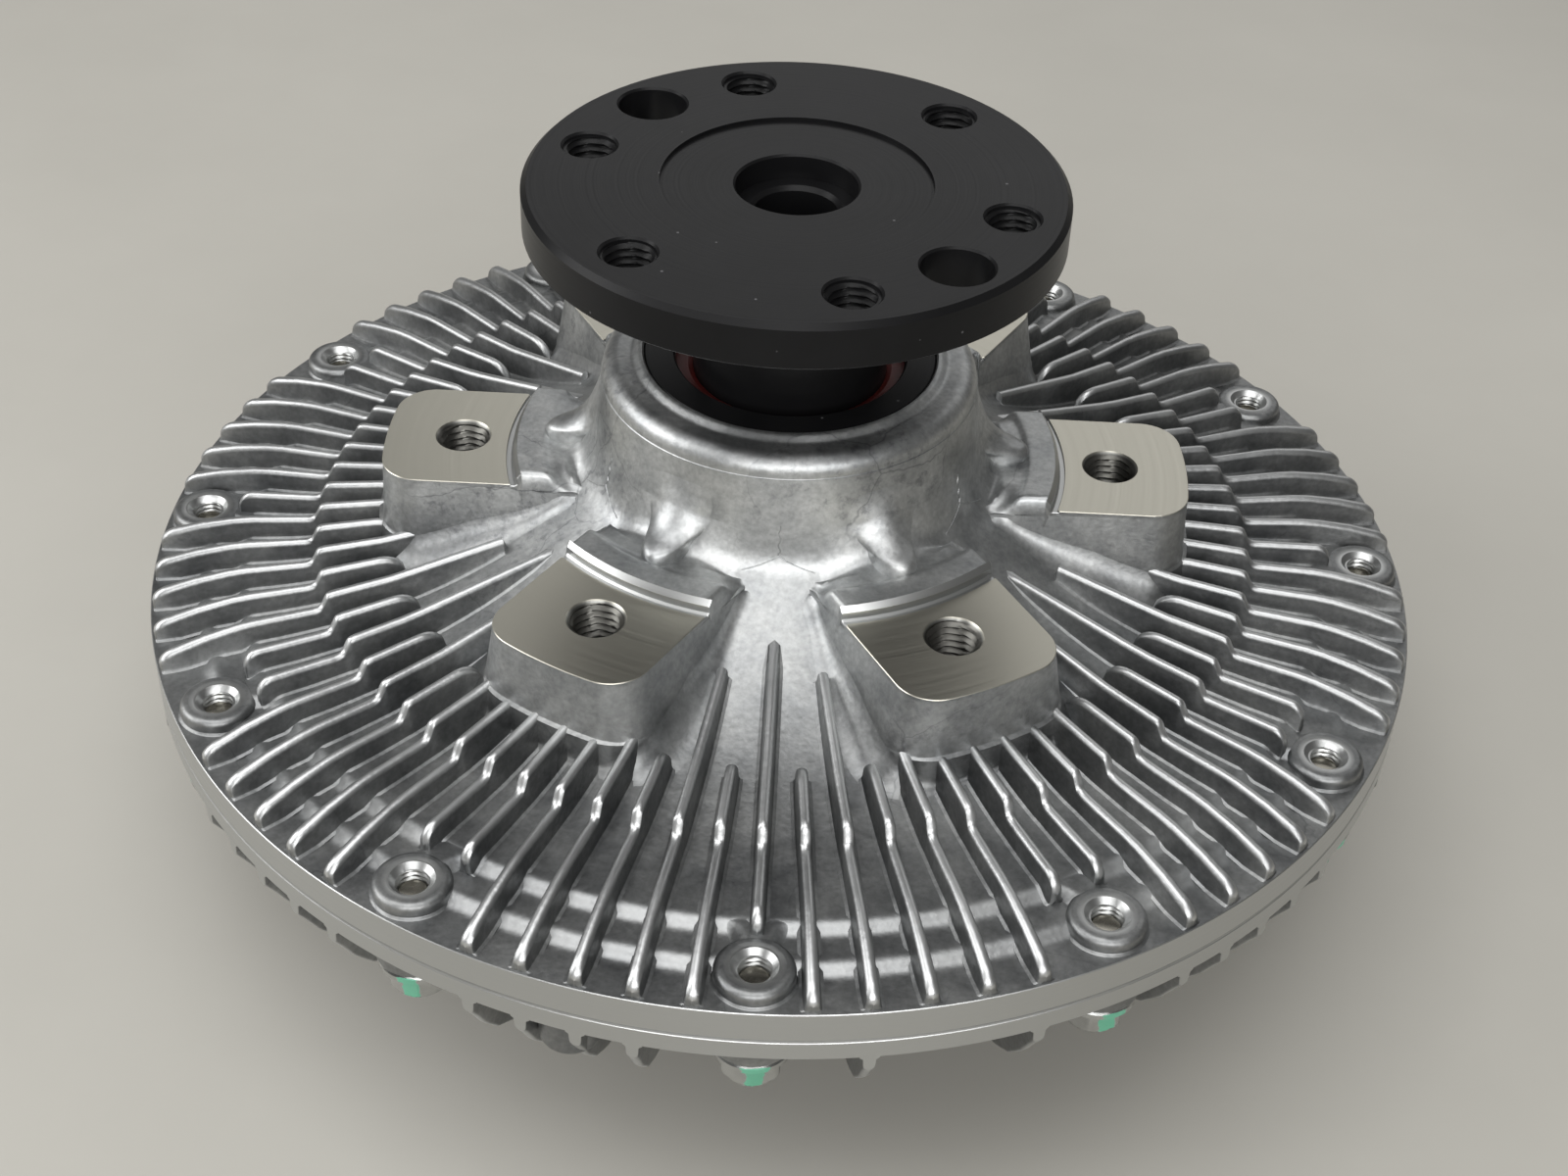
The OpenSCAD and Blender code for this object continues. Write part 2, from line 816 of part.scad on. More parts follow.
// Grooves for both rows of balls
module races() {
  for (s = [-1, 1])
    rotate_extrude()
      translate([ball_pcr, bearing_mid_z + s * ball_row])
        circle(d = ball_d + 2 * race_gap);
}

module bearing_outer_ring() {
  color("#c9cbcd")
    difference() {
      ring(outer_race_r, bearing_r - seat_gap, bearing_z0, bearing_z1);
      races();
    }
}

module bearing_inner_ring() {
  color("#c9cbcd")
    difference() {
      ring(seat_r, inner_race_r, bearing_z0, bearing_z1);
      races();
    }
}

module bearing_shields() {
  color("#2a2a2c")
    for (z = [bearing_z0 + shield_inset, bearing_z1 - shield_inset - shield_t])
      ring(inner_race_r + free_gap, outer_race_r - seat_gap, z, z + shield_t);
}

module each_ball() {
  for (s = [0, 1])
    around(ball_count, s * 180 / ball_count)
      translate([ball_pcr, 0, bearing_mid_z + (2 * s - 1) * ball_row])
        children();
}

module bearing_balls() {
  color("#dcdee0")
    each_ball()
      sphere(d = ball_d);
}

module bearing_cage() {
  color("#c8a860")
    difference() {
      translate([0, 0, bearing_mid_z])
        ring(ball_pcr - cage_t / 2, ball_pcr + cage_t / 2, -cage_l / 2, cage_l / 2);
      each_ball()
        sphere(d = ball_d + 2 * cage_gap);
    }
}

// Retaining ring for a bore: an open ring with two eyes
module bearing_circlip() {
  out_r = bearing_r + circlip_bite;
  in_r = out_r - circlip_w;
  eye_r = 2.4;
  eye_x = 5;
  color("#3c3c3e")
    translate([0, 0, circlip_z0])
      difference() {
        union() {
          difference() {
            cylinder(r = out_r, h = circlip_t);
            translate([0, 0, -cut])
              cylinder(r = in_r, h = circlip_t + 2 * cut);
          }
          for (s = [-1, 1])
            translate([s * eye_x, in_r - eye_r / 2, 0])
              cylinder(r = eye_r, h = circlip_t);
        }
        translate([-eye_x / 2, 0, -cut])
          cube([eye_x, out_r + cut, circlip_t + 2 * cut]);
        for (s = [-1, 1])
          translate([s * eye_x, in_r - eye_r / 2, -cut])
            cylinder(r = eye_r / 2, h = circlip_t + 2 * cut);
      }
}

module drive_shaft() {
  groove_r = rotor_seat_r - shaft_ring_bite;
  groove_z1 = rotor_z0;
  groove_z0 = rotor_z0 - shaft_ring_t - seat_gap;
  core_r = core_d / 2;
  pilot_r = pilot_d / 2;
  color("#1f1f21")
    difference() {
      rotate_extrude()
        polygon(concat(
          [
            [0, shaft_z0],
            [rotor_seat_r - 2 * edge, shaft_z0],
            [rotor_seat_r - seat_gap, shaft_z0 + 2 * edge],
            [rotor_seat_r - seat_gap, groove_z0],
            [groove_r, groove_z0],
            [groove_r, groove_z1],
            [rotor_seat_r - seat_gap, groove_z1],
            [rotor_seat_r - seat_gap, bearing_z0],
            [seat_r - seat_gap, bearing_z0],
            [seat_r - seat_gap, bearing_z1],
            [neck_r, bearing_z1]
          ],
          arc(neck_r + neck_fillet, flange_z0 - neck_fillet, neck_fillet, 180, 90),
          [
            [flange_d / 2 - edge, flange_z0],
            [flange_d / 2, flange_z0 + edge],
            [flange_d / 2, flange_z1 - flange_chamfer],
            [flange_d / 2 - flange_chamfer, flange_z1],
            [recess_d / 2, flange_z1],
            [recess_d / 2, flange_z1 - recess_l],
            [pilot_r + edge, flange_z1 - recess_l],
            [pilot_r, flange_z1 - recess_l - edge],
            [pilot_r, flange_z1 - pilot_l],
            [core_r + 2 * edge, flange_z1 - pilot_l],
            [core_r, flange_z1 - pilot_l - 2 * edge],
            [core_r, flange_z1 - core_l],
            [0, flange_z1 - core_l - core_r * drill_tip]
          ]
        ));
      around(flange_bolts, flange_angle)
        translate([flange_pcd / 2, 0, flange_z1])
          hole_down(flange_bolt_d / 2, flange_t + cut, cut);
      around(2, flange_angle + 90)
        translate([flange_pcd / 2, 0, flange_z1])
          hole_down(plain_hole_d / 2, flange_t + cut, cut);
    }
}

module rotor() {
  color("#b4b6b8")
    difference() {
      union() {
        rotate_extrude()
          polygon([
            [rotor_seat_r, rotor_z0],
            [rotor_r - edge, rotor_z0],
            [rotor_r, rotor_z0 + edge],
            [rotor_r, rotor_z1 - edge],
            [rotor_r - edge, rotor_z1],
            [rotor_hub_r + rotor_fillet, rotor_z1],
            [rotor_hub_r, rotor_z1 + rotor_fillet],
            [rotor_hub_r, bearing_z0 - 2 * edge],
            [inner_race_r - edge, bearing_z0],
            [rotor_seat_r, bearing_z0]
          ]);
        for (i = [0:land_count - 1])
          let (r = rotor_r - land_t - i * land_pitch)
            ring(r, r + land_t, land_z0, rotor_z0 + cut);
      }
      around(passage_count)
        translate([plate_r, 0, rotor_z0 - cut])
          cylinder(d = passage_d, h = rotor_t + 2 * cut);
    }
}

// Retaining ring for a shaft: an open ring
module rotor_ring() {
  in_r = rotor_seat_r - shaft_ring_bite + seat_gap;
  out_r = in_r + shaft_ring_w;
  mouth_w = 6;
  color("#3c3c3e")
    difference() {
      ring(in_r, out_r, rotor_z0 - shaft_ring_t, rotor_z0);
      translate([0, -mouth_w / 2, rotor_z0 - shaft_ring_t - cut])
        cube([out_r + cut, mouth_w, shaft_ring_t + 2 * cut]);
    }
}

module partition_plate() {
  color("#a9adb0")
    difference() {
      translate([0, 0, plate_z0])
        cylinder(r = plate_r, h = plate_t);
      around(screw_count)
        translate([screw_r, 0, plate_z0 - cut])
          cylinder(r = screw_d / 2 + free_gap / 2, h = plate_t + 2 * cut);
      rotate([0, 0, 90])
        translate([port_r, 0, plate_z0 - cut])
          cylinder(d = port_d, h = plate_t + 2 * cut);
    }
}

// A screw with a domed head on the face at height z
module screw(z, up, l) {
  translate([0, 0, z])
    mirror([0, 0, up ? 0 : 1]) {
      cylinder(d = screw_head_d, h = screw_head_h);
      translate([0, 0, -l])
        cylinder(d = screw_d, h = l + edge);
    }
}

module plate_screws() {
  color("#b8b8b4")
    around(screw_count)
      translate([screw_r, 0, 0])
        screw(floor_z, true, screw_l);
}

module valve_bush() {
  color("#b08d4a")
    difference() {
      union() {
        translate([0, 0, spigot_z0])
          cylinder(r = bush_r - seat_gap, h = spigot_z1 - spigot_z0 + cut);
        translate([0, 0, spigot_z1])
          cylinder(r = bush_r + bush_flange_w, h = bush_flange_t);
      }
      translate([0, 0, spigot_z0 - cut])
        cylinder(r = valve_r + run_gap, h = spigot_z1 - spigot_z0 + bush_flange_t + 3 * cut);
    }
}

module valve_shaft() {
  groove_r = valve_r - ring_d;
  color("#b5b7ba")
    difference() {
      rotate_extrude()
        polygon([
          [0, coil_z0 - edge],
          [valve_r - edge, coil_z0 - edge],
          [valve_r, coil_z0],
          [valve_r, ring_z - ring_d],
          [groove_r, ring_z - ring_d],
          [groove_r, ring_z + ring_d],
          [valve_r, ring_z + ring_d],
          [valve_r, collar_z0],
          [collar_r, collar_z0],
          [collar_r, arm_z0],
          [valve_r, arm_z0],
          [valve_r, arm_z1],
          [0, arm_z1]
        ]);
      translate([-valve_r - cut, -coil_t / 2 - slot_gap, coil_z0 - cut])
        cube([2 * (valve_r + cut), coil_t + 2 * slot_gap, coil_w + cut + slot_gap]);
    }
}

// Arm that swings away from the feed port
module valve_arm() {
  color("#a4a8ab")
    difference() {
      translate([0, 0, arm_z0])
        linear_extrude(height = arm_t)
          union() {
            circle(r = collar_r + arm_eye);
            translate([-arm_w / 2, 0])
              square([arm_w, arm_l - arm_w / 2]);
            translate([0, arm_l - arm_w / 2])
              circle(d = arm_w);
          }
      translate([0, 0, arm_z0 - cut])
        cylinder(r = valve_r + seat_gap, h = arm_t + 2 * cut);
    }
}

module valve_o_ring() {
  color("#1c1c1c")
    rotate_extrude()
      translate([valve_r - ring_d / 2, ring_z])
        circle(d = ring_d - 2 * seat_gap);
}

// Middle radius of the coil's strip after turn n
function coil_mid(n) = coil_start_r + (coil_r - coil_start_r) * n / coil_turns;

// Spiral strip with a straight tab at each end
module bimetal_coil() {
  steps = coil_turns * coil_steps;
  turns = [for (i = [0:steps]) i / coil_steps];
  outer = [for (n = turns) (coil_mid(n) + coil_t / 2) * [cos(360 * n), sin(360 * n)]];
  inner = [
    for (i = [steps:-1:0])
      let (n = turns[i])
        (coil_mid(n) - coil_t / 2) * [cos(360 * n), sin(360 * n)]
  ];
  color("#8d7a5c")
    translate([0, 0, coil_z0])
      linear_extrude(height = coil_w)
        union() {
          polygon(concat(outer, inner));
          translate([-valve_r, -coil_t / 2])
            square([valve_r + coil_start_r, coil_t]);
          translate([coil_r - coil_t / 4, -coil_t / 2])
            square([coil_tail, coil_t]);
        }
}

// Forked leg on a plate under the cover, closed round the coil's outer tab
module coil_bracket() {
  slit = coil_t / 2 + slot_gap;
  color("#9a9c9e")
    difference() {
      union() {
        translate([bracket_x0, -bracket_w / 2, skin_z - bracket_t])
          cube([bracket_x1 - bracket_x0, bracket_w, bracket_t]);
        for (s = [-1, 1])
          translate([bracket_x1 - fork_w, s * (slit + fork_h / 2) - fork_h / 2, coil_z0])
            cube([fork_w, fork_h, skin_z - bracket_t - coil_z0 + edge]);
      }
      for (s = [-1, 1])
        translate([bracket_screw_x, s * bracket_screw_y, skin_z - bracket_t - cut])
          cylinder(r = screw_d / 2 + free_gap / 2, h = bracket_t + 2 * cut);
    }
}

module bracket_screws() {
  color("#b8b8b4")
    for (s = [-1, 1])
      translate([bracket_screw_x, s * bracket_screw_y, 0])
        screw(skin_z - bracket_t, false, wall_t - cut);
}

housing();
cover();
cover_bolts();
cover_seal();
dust_ring();
lip_seal();
bearing_outer_ring();
bearing_shields();
bearing_circlip();
partition_plate();
plate_screws();
valve_bush();
coil_bracket();
bracket_screws();
drive_shaft();
bearing_inner_ring();
rotor();
rotor_ring();
bearing_cage();
bearing_balls();
valve_shaft();
valve_arm();
valve_o_ring();
bimetal_coil();
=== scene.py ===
# %% [markdown]
# A viscous fan clutch sits between an engine and its cooling fan. Two die-cast aluminium halves full of
# fins turn on a bearing round a steel shaft, and the black flange on top bolts to the engine. This lesson
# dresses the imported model. Every new surface is worked out as whole arrays of points, in millimetres, and
# is made a mesh only at the end, because a formula on arrays is shorter, and easier to change, than a walk
# over points.

# %% Load the frame
import json
import math

import bpy
import numpy as np
from mathutils import Matrix, Vector


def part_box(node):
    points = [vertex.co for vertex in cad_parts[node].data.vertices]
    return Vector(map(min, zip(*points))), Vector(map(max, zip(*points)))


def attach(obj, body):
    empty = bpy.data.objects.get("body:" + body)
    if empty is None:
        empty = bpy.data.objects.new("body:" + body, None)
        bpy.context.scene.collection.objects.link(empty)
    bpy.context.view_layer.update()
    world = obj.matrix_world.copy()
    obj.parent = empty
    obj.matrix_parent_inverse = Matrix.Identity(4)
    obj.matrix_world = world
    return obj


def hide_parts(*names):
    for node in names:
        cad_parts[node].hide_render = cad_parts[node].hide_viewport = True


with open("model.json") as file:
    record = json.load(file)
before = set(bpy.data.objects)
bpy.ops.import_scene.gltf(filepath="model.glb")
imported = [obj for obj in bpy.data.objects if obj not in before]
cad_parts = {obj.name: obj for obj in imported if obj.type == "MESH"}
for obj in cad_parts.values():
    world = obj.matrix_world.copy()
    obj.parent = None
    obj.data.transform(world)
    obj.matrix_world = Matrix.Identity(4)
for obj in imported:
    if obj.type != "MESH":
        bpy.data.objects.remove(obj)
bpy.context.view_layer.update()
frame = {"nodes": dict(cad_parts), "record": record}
print("CAD nodes:", len(frame["nodes"]))

# %% [markdown]
# The frame already knows the sizes that matter, so they are read from it: the boxes of the castings give
# the rim, the parting plane and the hub, and the mounts give the bolt circles. Only what the frame doesn't
# hold, such as the thickness of the rim, is written here as a real size.

# %% Sizes from the frame
MM = 0.001
mounts = {mount["name"]: mount for mount in frame["record"]["mounts"]}
fan_bolts = mounts["fan_bolts"]["dims"]
flange_bolts = mounts["flange_bolts"]["dims"]


def box_mm(node):
    """Lowest and highest corner of a CAD node, in millimetres."""
    return [np.array(corner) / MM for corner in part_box(node)]


(_, _, PARTING_Z), (RIM_R, _, MOUTH_Z) = box_mm("housing")
FLANGE_Z = box_mm("drive_shaft")[1][2]
PAD_Z = mounts["fan_bolts"]["pos_m"][2] / MM
PAD_COUNT = fan_bolts["count"]
PAD_BOLT_R = fan_bolts["pcd_mm"] / 2
THREAD_R = fan_bolts["hole_r_mm"]
FLANGE_BOLTS = flange_bolts["count"]
FLANGE_BOLT_R = flange_bolts["pcd_mm"] / 2

BOLT_COUNT = 12
BOLT_EDGE = 8
DECK_EDGE = 10
RIM_T = 6.2
TERRACE_H = 1.4
BOLT_R = RIM_R - BOLT_EDGE
DECK_R = BOLT_R - DECK_EDGE
RIM_TOP_Z = PARTING_Z + RIM_T
TERRACE_Z = RIM_TOP_Z + TERRACE_H
DECK_Z = TERRACE_Z + TERRACE_H
pad_angles = np.radians(np.arange(PAD_COUNT) * 360 / PAD_COUNT)
bolt_angles = np.radians(np.arange(BOLT_COUNT) * 360 / BOLT_COUNT)
print(f"mm: rim {RIM_R:.1f}, parting {PARTING_Z:.1f}, pads {PAD_Z:.1f}, mouth {MOUTH_Z:.1f}")

# %% [markdown]
# Every new piece is a stack of closed rings. A turned shape is a stack of circles, a fin is a stack of its
# cross-sections from one end to the other, and a boss is a stack of circles that shrinks to a point. So a
# few functions are enough to lay out all points.

# %% Rings
CIRCLE = np.linspace(0, 2 * math.pi, 360, endpoint=False)


def xyz(x, y, z):
    """Points from three coordinates, which are stretched to one shape first."""
    return np.stack(np.broadcast_arrays(x, y, z), axis=-1)


def turned(section, angles=CIRCLE):
    """Circles about the z axis: point (r, z) of the section becomes the ring (r cos a, r sin a, z)."""
    r, z = np.asarray(section, float).T[:, :, None]
    return xyz(r * np.cos(angles), r * np.sin(angles), z)


def spread(rings, angles, radius=0.0):
    """Copies of a stack: each is moved out by radius along x and turned about z by its angle."""
    x, y, z = np.moveaxis(rings, -1, 0)
    x = x + radius
    a = np.asarray(angles).reshape(-1, 1, 1)
    return xyz(x * np.cos(a) - y * np.sin(a), x * np.sin(a) + y * np.cos(a), z)


def trimmed(rings, limit):
    """Points further from the z axis than limit are drawn in to it: x and y times limit over their radius."""
    x, y, z = np.moveaxis(rings, -1, 0)
    squeeze = np.minimum(1, limit / np.hypot(x, y))
    return xyz(x * squeeze, y * squeeze, z)


print("points on a full circle:", len(CIRCLE))

# %% [markdown]
# A stack becomes a mesh by joining each point to its neighbours. The ends are closed by fans, so nothing is
# left open. Which way the faces point needs no thought either: if the enclosed volume comes out negative,
# all of them are turned round, so that they point outwards.

# %% Meshes from rings
SHARP = math.radians(32)


def ring_faces(rings, ring_shaped):
    """Vertices, quads and end fans of stacks of rings.

    Neighbouring points of neighbouring rows span a quad, and each row closes on itself. A ring-shaped stack
    also joins its last row to its first. Any other stack is closed by a fan round the mean of each end row.
    """
    copies, rows, points, _ = rings.shape
    index = np.arange(copies * rows * points).reshape(copies, rows, points)
    bands = np.concatenate([index, index[:, :1]], axis=1) if ring_shaped else index
    near, far = bands[:, :-1], bands[:, 1:]
    quads = np.stack([near, np.roll(near, -1, axis=2), np.roll(far, -1, axis=2), far], axis=-1).reshape(-1, 4)
    vertices = rings.reshape(-1, 3)
    if ring_shaped:
        return vertices, quads, np.zeros((0, 3), int)
    poles = rings[:, [0, -1]].mean(axis=2)
    pole = (len(vertices) + np.arange(2 * copies)).reshape(copies, 2, 1)
    first, last = index[:, 0], index[:, -1]
    start = xyz(np.roll(first, -1, axis=1), first, pole[:, 0])
    end = xyz(last, np.roll(last, -1, axis=1), pole[:, 1])
    fans = np.concatenate([start.reshape(-1, 3), end.reshape(-1, 3)])
    return np.concatenate([vertices, poles.reshape(-1, 3)]), quads, fans


def piece(name, rings, material, body, ring_shaped=False, tags=None, sharp=SHARP):
    """One mesh from stacks of rings with the shape (copies, rows, points, 3), in millimetres.

    The volume is a sixth of the sum of a . (b x c) over all triangles, and its sign tells which way they
    face. Tags are numbers for each point, kept as attributes for the material.
    """
    vertices, quads, fans = ring_faces(rings, ring_shaped)
    triangles = np.concatenate([quads[:, [0, 1, 2]], quads[:, [0, 2, 3]], fans])
    a, b, c = (vertices[triangles[:, i]] for i in range(3))
    way = -1 if np.einsum("ij,ij->", a, np.cross(b, c)) < 0 else 1
    mesh = bpy.data.meshes.new(name)
    mesh.from_pydata((vertices * MM).tolist(), [], quads[:, ::way].tolist() + fans[:, ::way].tolist())
    mesh.shade_smooth()
    mesh.set_sharp_from_angle(angle=sharp)
    for tag, values in (tags or {}).items():
        values = np.broadcast_to(values, rings.shape[:3])
        if not ring_shaped:
            values = np.concatenate([values.ravel(), values[:, [0, -1]].mean(axis=2).ravel()])
        attribute = mesh.attributes.new(tag, "FLOAT", "POINT")
        attribute.data.foreach_set("value", np.ascontiguousarray(values, np.float32).ravel())
    mesh.materials.append(material)
    made = bpy.data.objects.new(name, mesh)
    bpy.context.scene.collection.objects.link(made)
    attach(made, body)
    copies, rows, points, _ = rings.shape
    print(f"{name}: {copies} x {rows} rings of {points} points, {len(triangles)} triangles")
    return made


# %% [markdown]
# Materials are node trees on the Principled shader. A colour is written as an sRGB hex value and turned to
# linear by one function, and the scale of a pattern is worked out from a real size in millimetres.

# %% Material helpers
def srgb(code):
    """Linear RGBA of a hex colour: a channel c becomes ((c + 0.055) / 1.055) ^ 2.4, or c / 12.92 if dark."""
    channels = np.array([int(code[i:i + 2], 16) / 255 for i in (1, 3, 5)])
    linear = np.where(channels <= 0.04045, channels / 12.92, ((channels + 0.055) / 1.055) ** 2.4)
    return (*linear, 1.0)


def per_mm(size):
    """Scale of a pattern with features of that many millimetres, in object space, where a unit is a metre."""
    return 1 / (size * MM)


def add(tree, kind, values=(), links=(), out=0, **settings):
    """Add one node and return one of its outputs, the first unless out names another.

    Settings are the node's own options, values fill its sockets, and links bring in outputs of other nodes.
    """
    node = tree.nodes.new(kind)
    for name, value in settings.items():
        setattr(node, name, value)
    for socket, value in dict(values).items():
        node.inputs[socket].default_value = value
    for socket, source in dict(links).items():
        tree.links.new(source, node.inputs[socket])
    return node.outputs[out]


def new_material(name, **sockets):
    """An empty material with a Principled shader whose sockets hold constant values."""
    material = bpy.data.materials.new(name)
    material.use_nodes = True
    tree = material.node_tree
    tree.nodes.clear()
    constants = {key.replace("_", " ").title(): value for key, value in sockets.items()}
    surface = add(tree, "ShaderNodeBsdfPrincipled", constants)
    end = tree.nodes.new("ShaderNodeOutputMaterial")
    tree.links.new(surface, end.inputs["Surface"])
    place = add(tree, "ShaderNodeTexCoord", out="Object")
    return material, tree, surface.node, place


def turning_lines(tree, place, size):
    """Lines that a turning tool leaves: noise of radius plus height, so they run round faces and walls."""
    height = add(tree, "ShaderNodeSeparateXYZ", links={0: place}, out="Z")
    flat = add(tree, "ShaderNodeVectorMath", {1: (1, 1, 0)}, {0: place}, operation="MULTIPLY")
    radius = add(tree, "ShaderNodeVectorMath", {}, {0: flat}, out="Value", operation="LENGTH")
    feed = add(tree, "ShaderNodeMath", {}, {0: radius, 1: height}, operation="ADD")
    return add(tree, "ShaderNodeTexNoise", {"Scale": per_mm(size), "Detail": 3, "Roughness": 0.7},
               {"W": feed}, noise_dimensions="1D")


print("one unit of a 1 mm pattern:", per_mm(1))

# %% [markdown]
# Die-cast aluminium is the finish of nearly all that shows. The metal froze against a steel die, so it is
# silver grey with soft flow marks, a fine grain, dark smudges, as release agent leaves them, and a few
# hairlines. First come the patterns. Three attributes tell the material where it is: one marks crests and
# steep ramps, which get a painted highlight, one marks turned faces and one marks threads, which get painted
# shade.

# %% Die-cast aluminium: patterns
cast, tree, shader, place = new_material("die_cast_aluminium", metallic=1.0)
crest = add(tree, "ShaderNodeAttribute", out="Fac", attribute_name="crest")
cut = add(tree, "ShaderNodeAttribute", out="Fac", attribute_name="cut")
hole_shade = add(tree, "ShaderNodeAttribute", out="Fac", attribute_name="hole_shade")
flow = add(tree, "ShaderNodeTexNoise", {"Scale": per_mm(13), "Detail": 4, "Roughness": 0.65},
           {"Vector": place})
# A real grain of a few tenths of a millimetre would be too fine to show, so it is drawn coarser
grain = add(tree, "ShaderNodeTexNoise", {"Scale": per_mm(1.1), "Detail": 2, "Roughness": 0.6},
            {"Vector": place})

# Smudges gather in some areas only, and so do the hairlines, which are the wandering edges of large cells
area = add(tree, "ShaderNodeTexNoise", {"Scale": per_mm(30), "Detail": 1}, {"Vector": place})
blot = add(tree, "ShaderNodeTexNoise", {"Scale": per_mm(2.6), "Detail": 4, "Roughness": 0.7},
           {"Vector": place})
in_area = add(tree, "ShaderNodeMapRange", {"From Min": 0.50, "From Max": 0.64}, {"Value": area})
on_blot = add(tree, "ShaderNodeMapRange", {"From Min": 0.52, "From Max": 0.66}, {"Value": blot})
smudge = add(tree, "ShaderNodeMath", {}, {0: in_area, 1: on_blot}, operation="MULTIPLY")
bent = add(tree, "ShaderNodeTexNoise", {"Scale": per_mm(9), "Detail": 3}, {"Vector": place}, out="Color")
wander = add(tree, "ShaderNodeVectorMath", {1: (7 * MM, 7 * MM, 7 * MM)}, {0: bent, 2: place},
             operation="MULTIPLY_ADD")
cells = add(tree, "ShaderNodeTexVoronoi", {"Scale": per_mm(28)}, {"Vector": wander},
            feature="DISTANCE_TO_EDGE")
seam = add(tree, "ShaderNodeMapRange", {"From Min": 0.007, "From Max": 0.001}, {"Value": cells})
hairline = add(tree, "ShaderNodeMath", {}, {0: seam, 1: in_area}, operation="MULTIPLY")

# Cutting lines at a usual feed of 0.2 mm would be too fine to show, so they are drawn coarser
tooling = turning_lines(tree, place, 0.7)
is_cut = add(tree, "ShaderNodeMapRange", {"From Min": 0.1, "From Max": 0.4}, {"Value": cut})
is_pad = add(tree, "ShaderNodeMapRange", {"From Min": 0.6, "From Max": 0.9}, {"Value": cut})
print("patterns of", cast.name, "ready")

# %% [markdown]
# The colour is built up in layers: the grey skin with its flow marks and grain, with painted shade low down
# between the fins and painted light up on the hub, then smudges and hairlines, then a painted highlight on
# the crests. Faces that were cut get their own clean tone, slightly yellow on the pads, and threads get
# painted shade.

# %% Die-cast aluminium: colour
# Heights of the painted shade low down between the fins and of the painted light high up on the hub
SHADED_Z, LIT_Z = 64, 82
height = add(tree, "ShaderNodeSeparateXYZ", links={0: place}, out="Z")
shade = add(tree, "ShaderNodeMapRange", {"From Min": 0.32, "From Max": 0.68}, {"Value": flow})
skin = add(tree, "ShaderNodeMixRGB", {"Color1": srgb("#97999a"), "Color2": srgb("#bcbdbc")},
           {"Fac": shade})
speck = add(tree, "ShaderNodeMapRange", {"From Min": 0.3, "From Max": 0.7, "To Min": 0.86, "To Max": 1.1},
            {"Value": grain})
skin = add(tree, "ShaderNodeMixRGB", {"Fac": 1.0}, {"Color1": skin, "Color2": speck},
           blend_type="MULTIPLY")
# Painted shade and painted light by height: the skin darkens towards the deck and brightens up on the hub
height_shade_light = add(tree, "ShaderNodeMapRange",
            {"From Min": SHADED_Z * MM, "From Max": LIT_Z * MM, "To Min": 0.62, "To Max": 1.12},
            {"Value": height})
skin = add(tree, "ShaderNodeMixRGB", {"Fac": 1.0}, {"Color1": skin, "Color2": height_shade_light},
           blend_type="MULTIPLY")
soot = add(tree, "ShaderNodeMath", {1: 0.55}, {0: smudge}, operation="MULTIPLY")
skin = add(tree, "ShaderNodeMixRGB", {"Color2": srgb("#6b6c6f")}, {"Fac": soot, "Color1": skin})
crack = add(tree, "ShaderNodeMath", {1: 0.42}, {0: hairline}, operation="MULTIPLY")
skin = add(tree, "ShaderNodeMixRGB", {"Color2": srgb("#55565a")}, {"Fac": crack, "Color1": skin})
# Painted highlight: crests and steep ramps are lightened towards a pale grey
crest_highlight = add(tree, "ShaderNodeMixRGB", {"Color2": srgb("#cbcccc")}, {"Fac": crest, "Color1": skin})
faced = add(tree, "ShaderNodeMixRGB", {"Color1": srgb("#b9bab9"), "Color2": srgb("#c3c0b4")},
            {"Fac": is_pad})
metal = add(tree, "ShaderNodeMixRGB", {}, {"Fac": is_cut, "Color1": crest_highlight, "Color2": faced})
# Painted shade: threads in the holes are darkened
colour = add(tree, "ShaderNodeMixRGB", {"Color2": srgb("#63625e")}, {"Fac": hole_shade, "Color1": metal})
tree.links.new(colour, shader.inputs["Base Color"])
print("colour of", cast.name, "ready")

# %% [markdown]
# Cast skin is rougher where the flow marks are strong, and a cut face is glossier along its tool lines. The
# relief is kept in millimetres: a few hundredths for the grain, a quarter for the flow marks and less than
# a hundredth for the cutting lines. So light breaks up on the casting and is drawn into streaks on the
# pads.

# %% Die-cast aluminium: gloss and relief
rough_cast = add(tree, "ShaderNodeMapRange", {"To Min": 0.34, "To Max": 0.56}, {"Value": flow})
rough_crest = add(tree, "ShaderNodeMath", {1: -0.05}, {0: crest, 2: rough_cast}, operation="MULTIPLY_ADD")
rough_cut = add(tree, "ShaderNodeMapRange", {"To Min": 0.26, "To Max": 0.44}, {"Value": tooling})
rough = add(tree, "ShaderNodeMix", {}, {0: is_cut, 2: rough_crest, 3: rough_cut})
tree.links.new(rough, shader.inputs["Roughness"])
relief = add(tree, "ShaderNodeMath", {1: 0.035}, {0: grain}, operation="MULTIPLY")
relief = add(tree, "ShaderNodeMath", {1: 0.24}, {0: flow, 2: relief}, operation="MULTIPLY_ADD")
lines = add(tree, "ShaderNodeMath", {1: 0.008}, {0: tooling}, operation="MULTIPLY")
relief = add(tree, "ShaderNodeMix", {}, {0: is_cut, 2: relief, 3: lines})
bump = add(tree, "ShaderNodeBump", {"Strength": 1.0, "Distance": MM}, {"Height": relief})
tree.links.new(bump, shader.inputs["Normal"])
print("material:", cast.name)

# %% [markdown]
# A cast edge is never sharp, because the melt doesn't fill a sharp corner and a sharp die would crack. An
# outline is therefore drawn with plain corners and then walked in small steps, and each point is averaged
# with its neighbours. That rounds all corners at once, inner and outer ones alike.

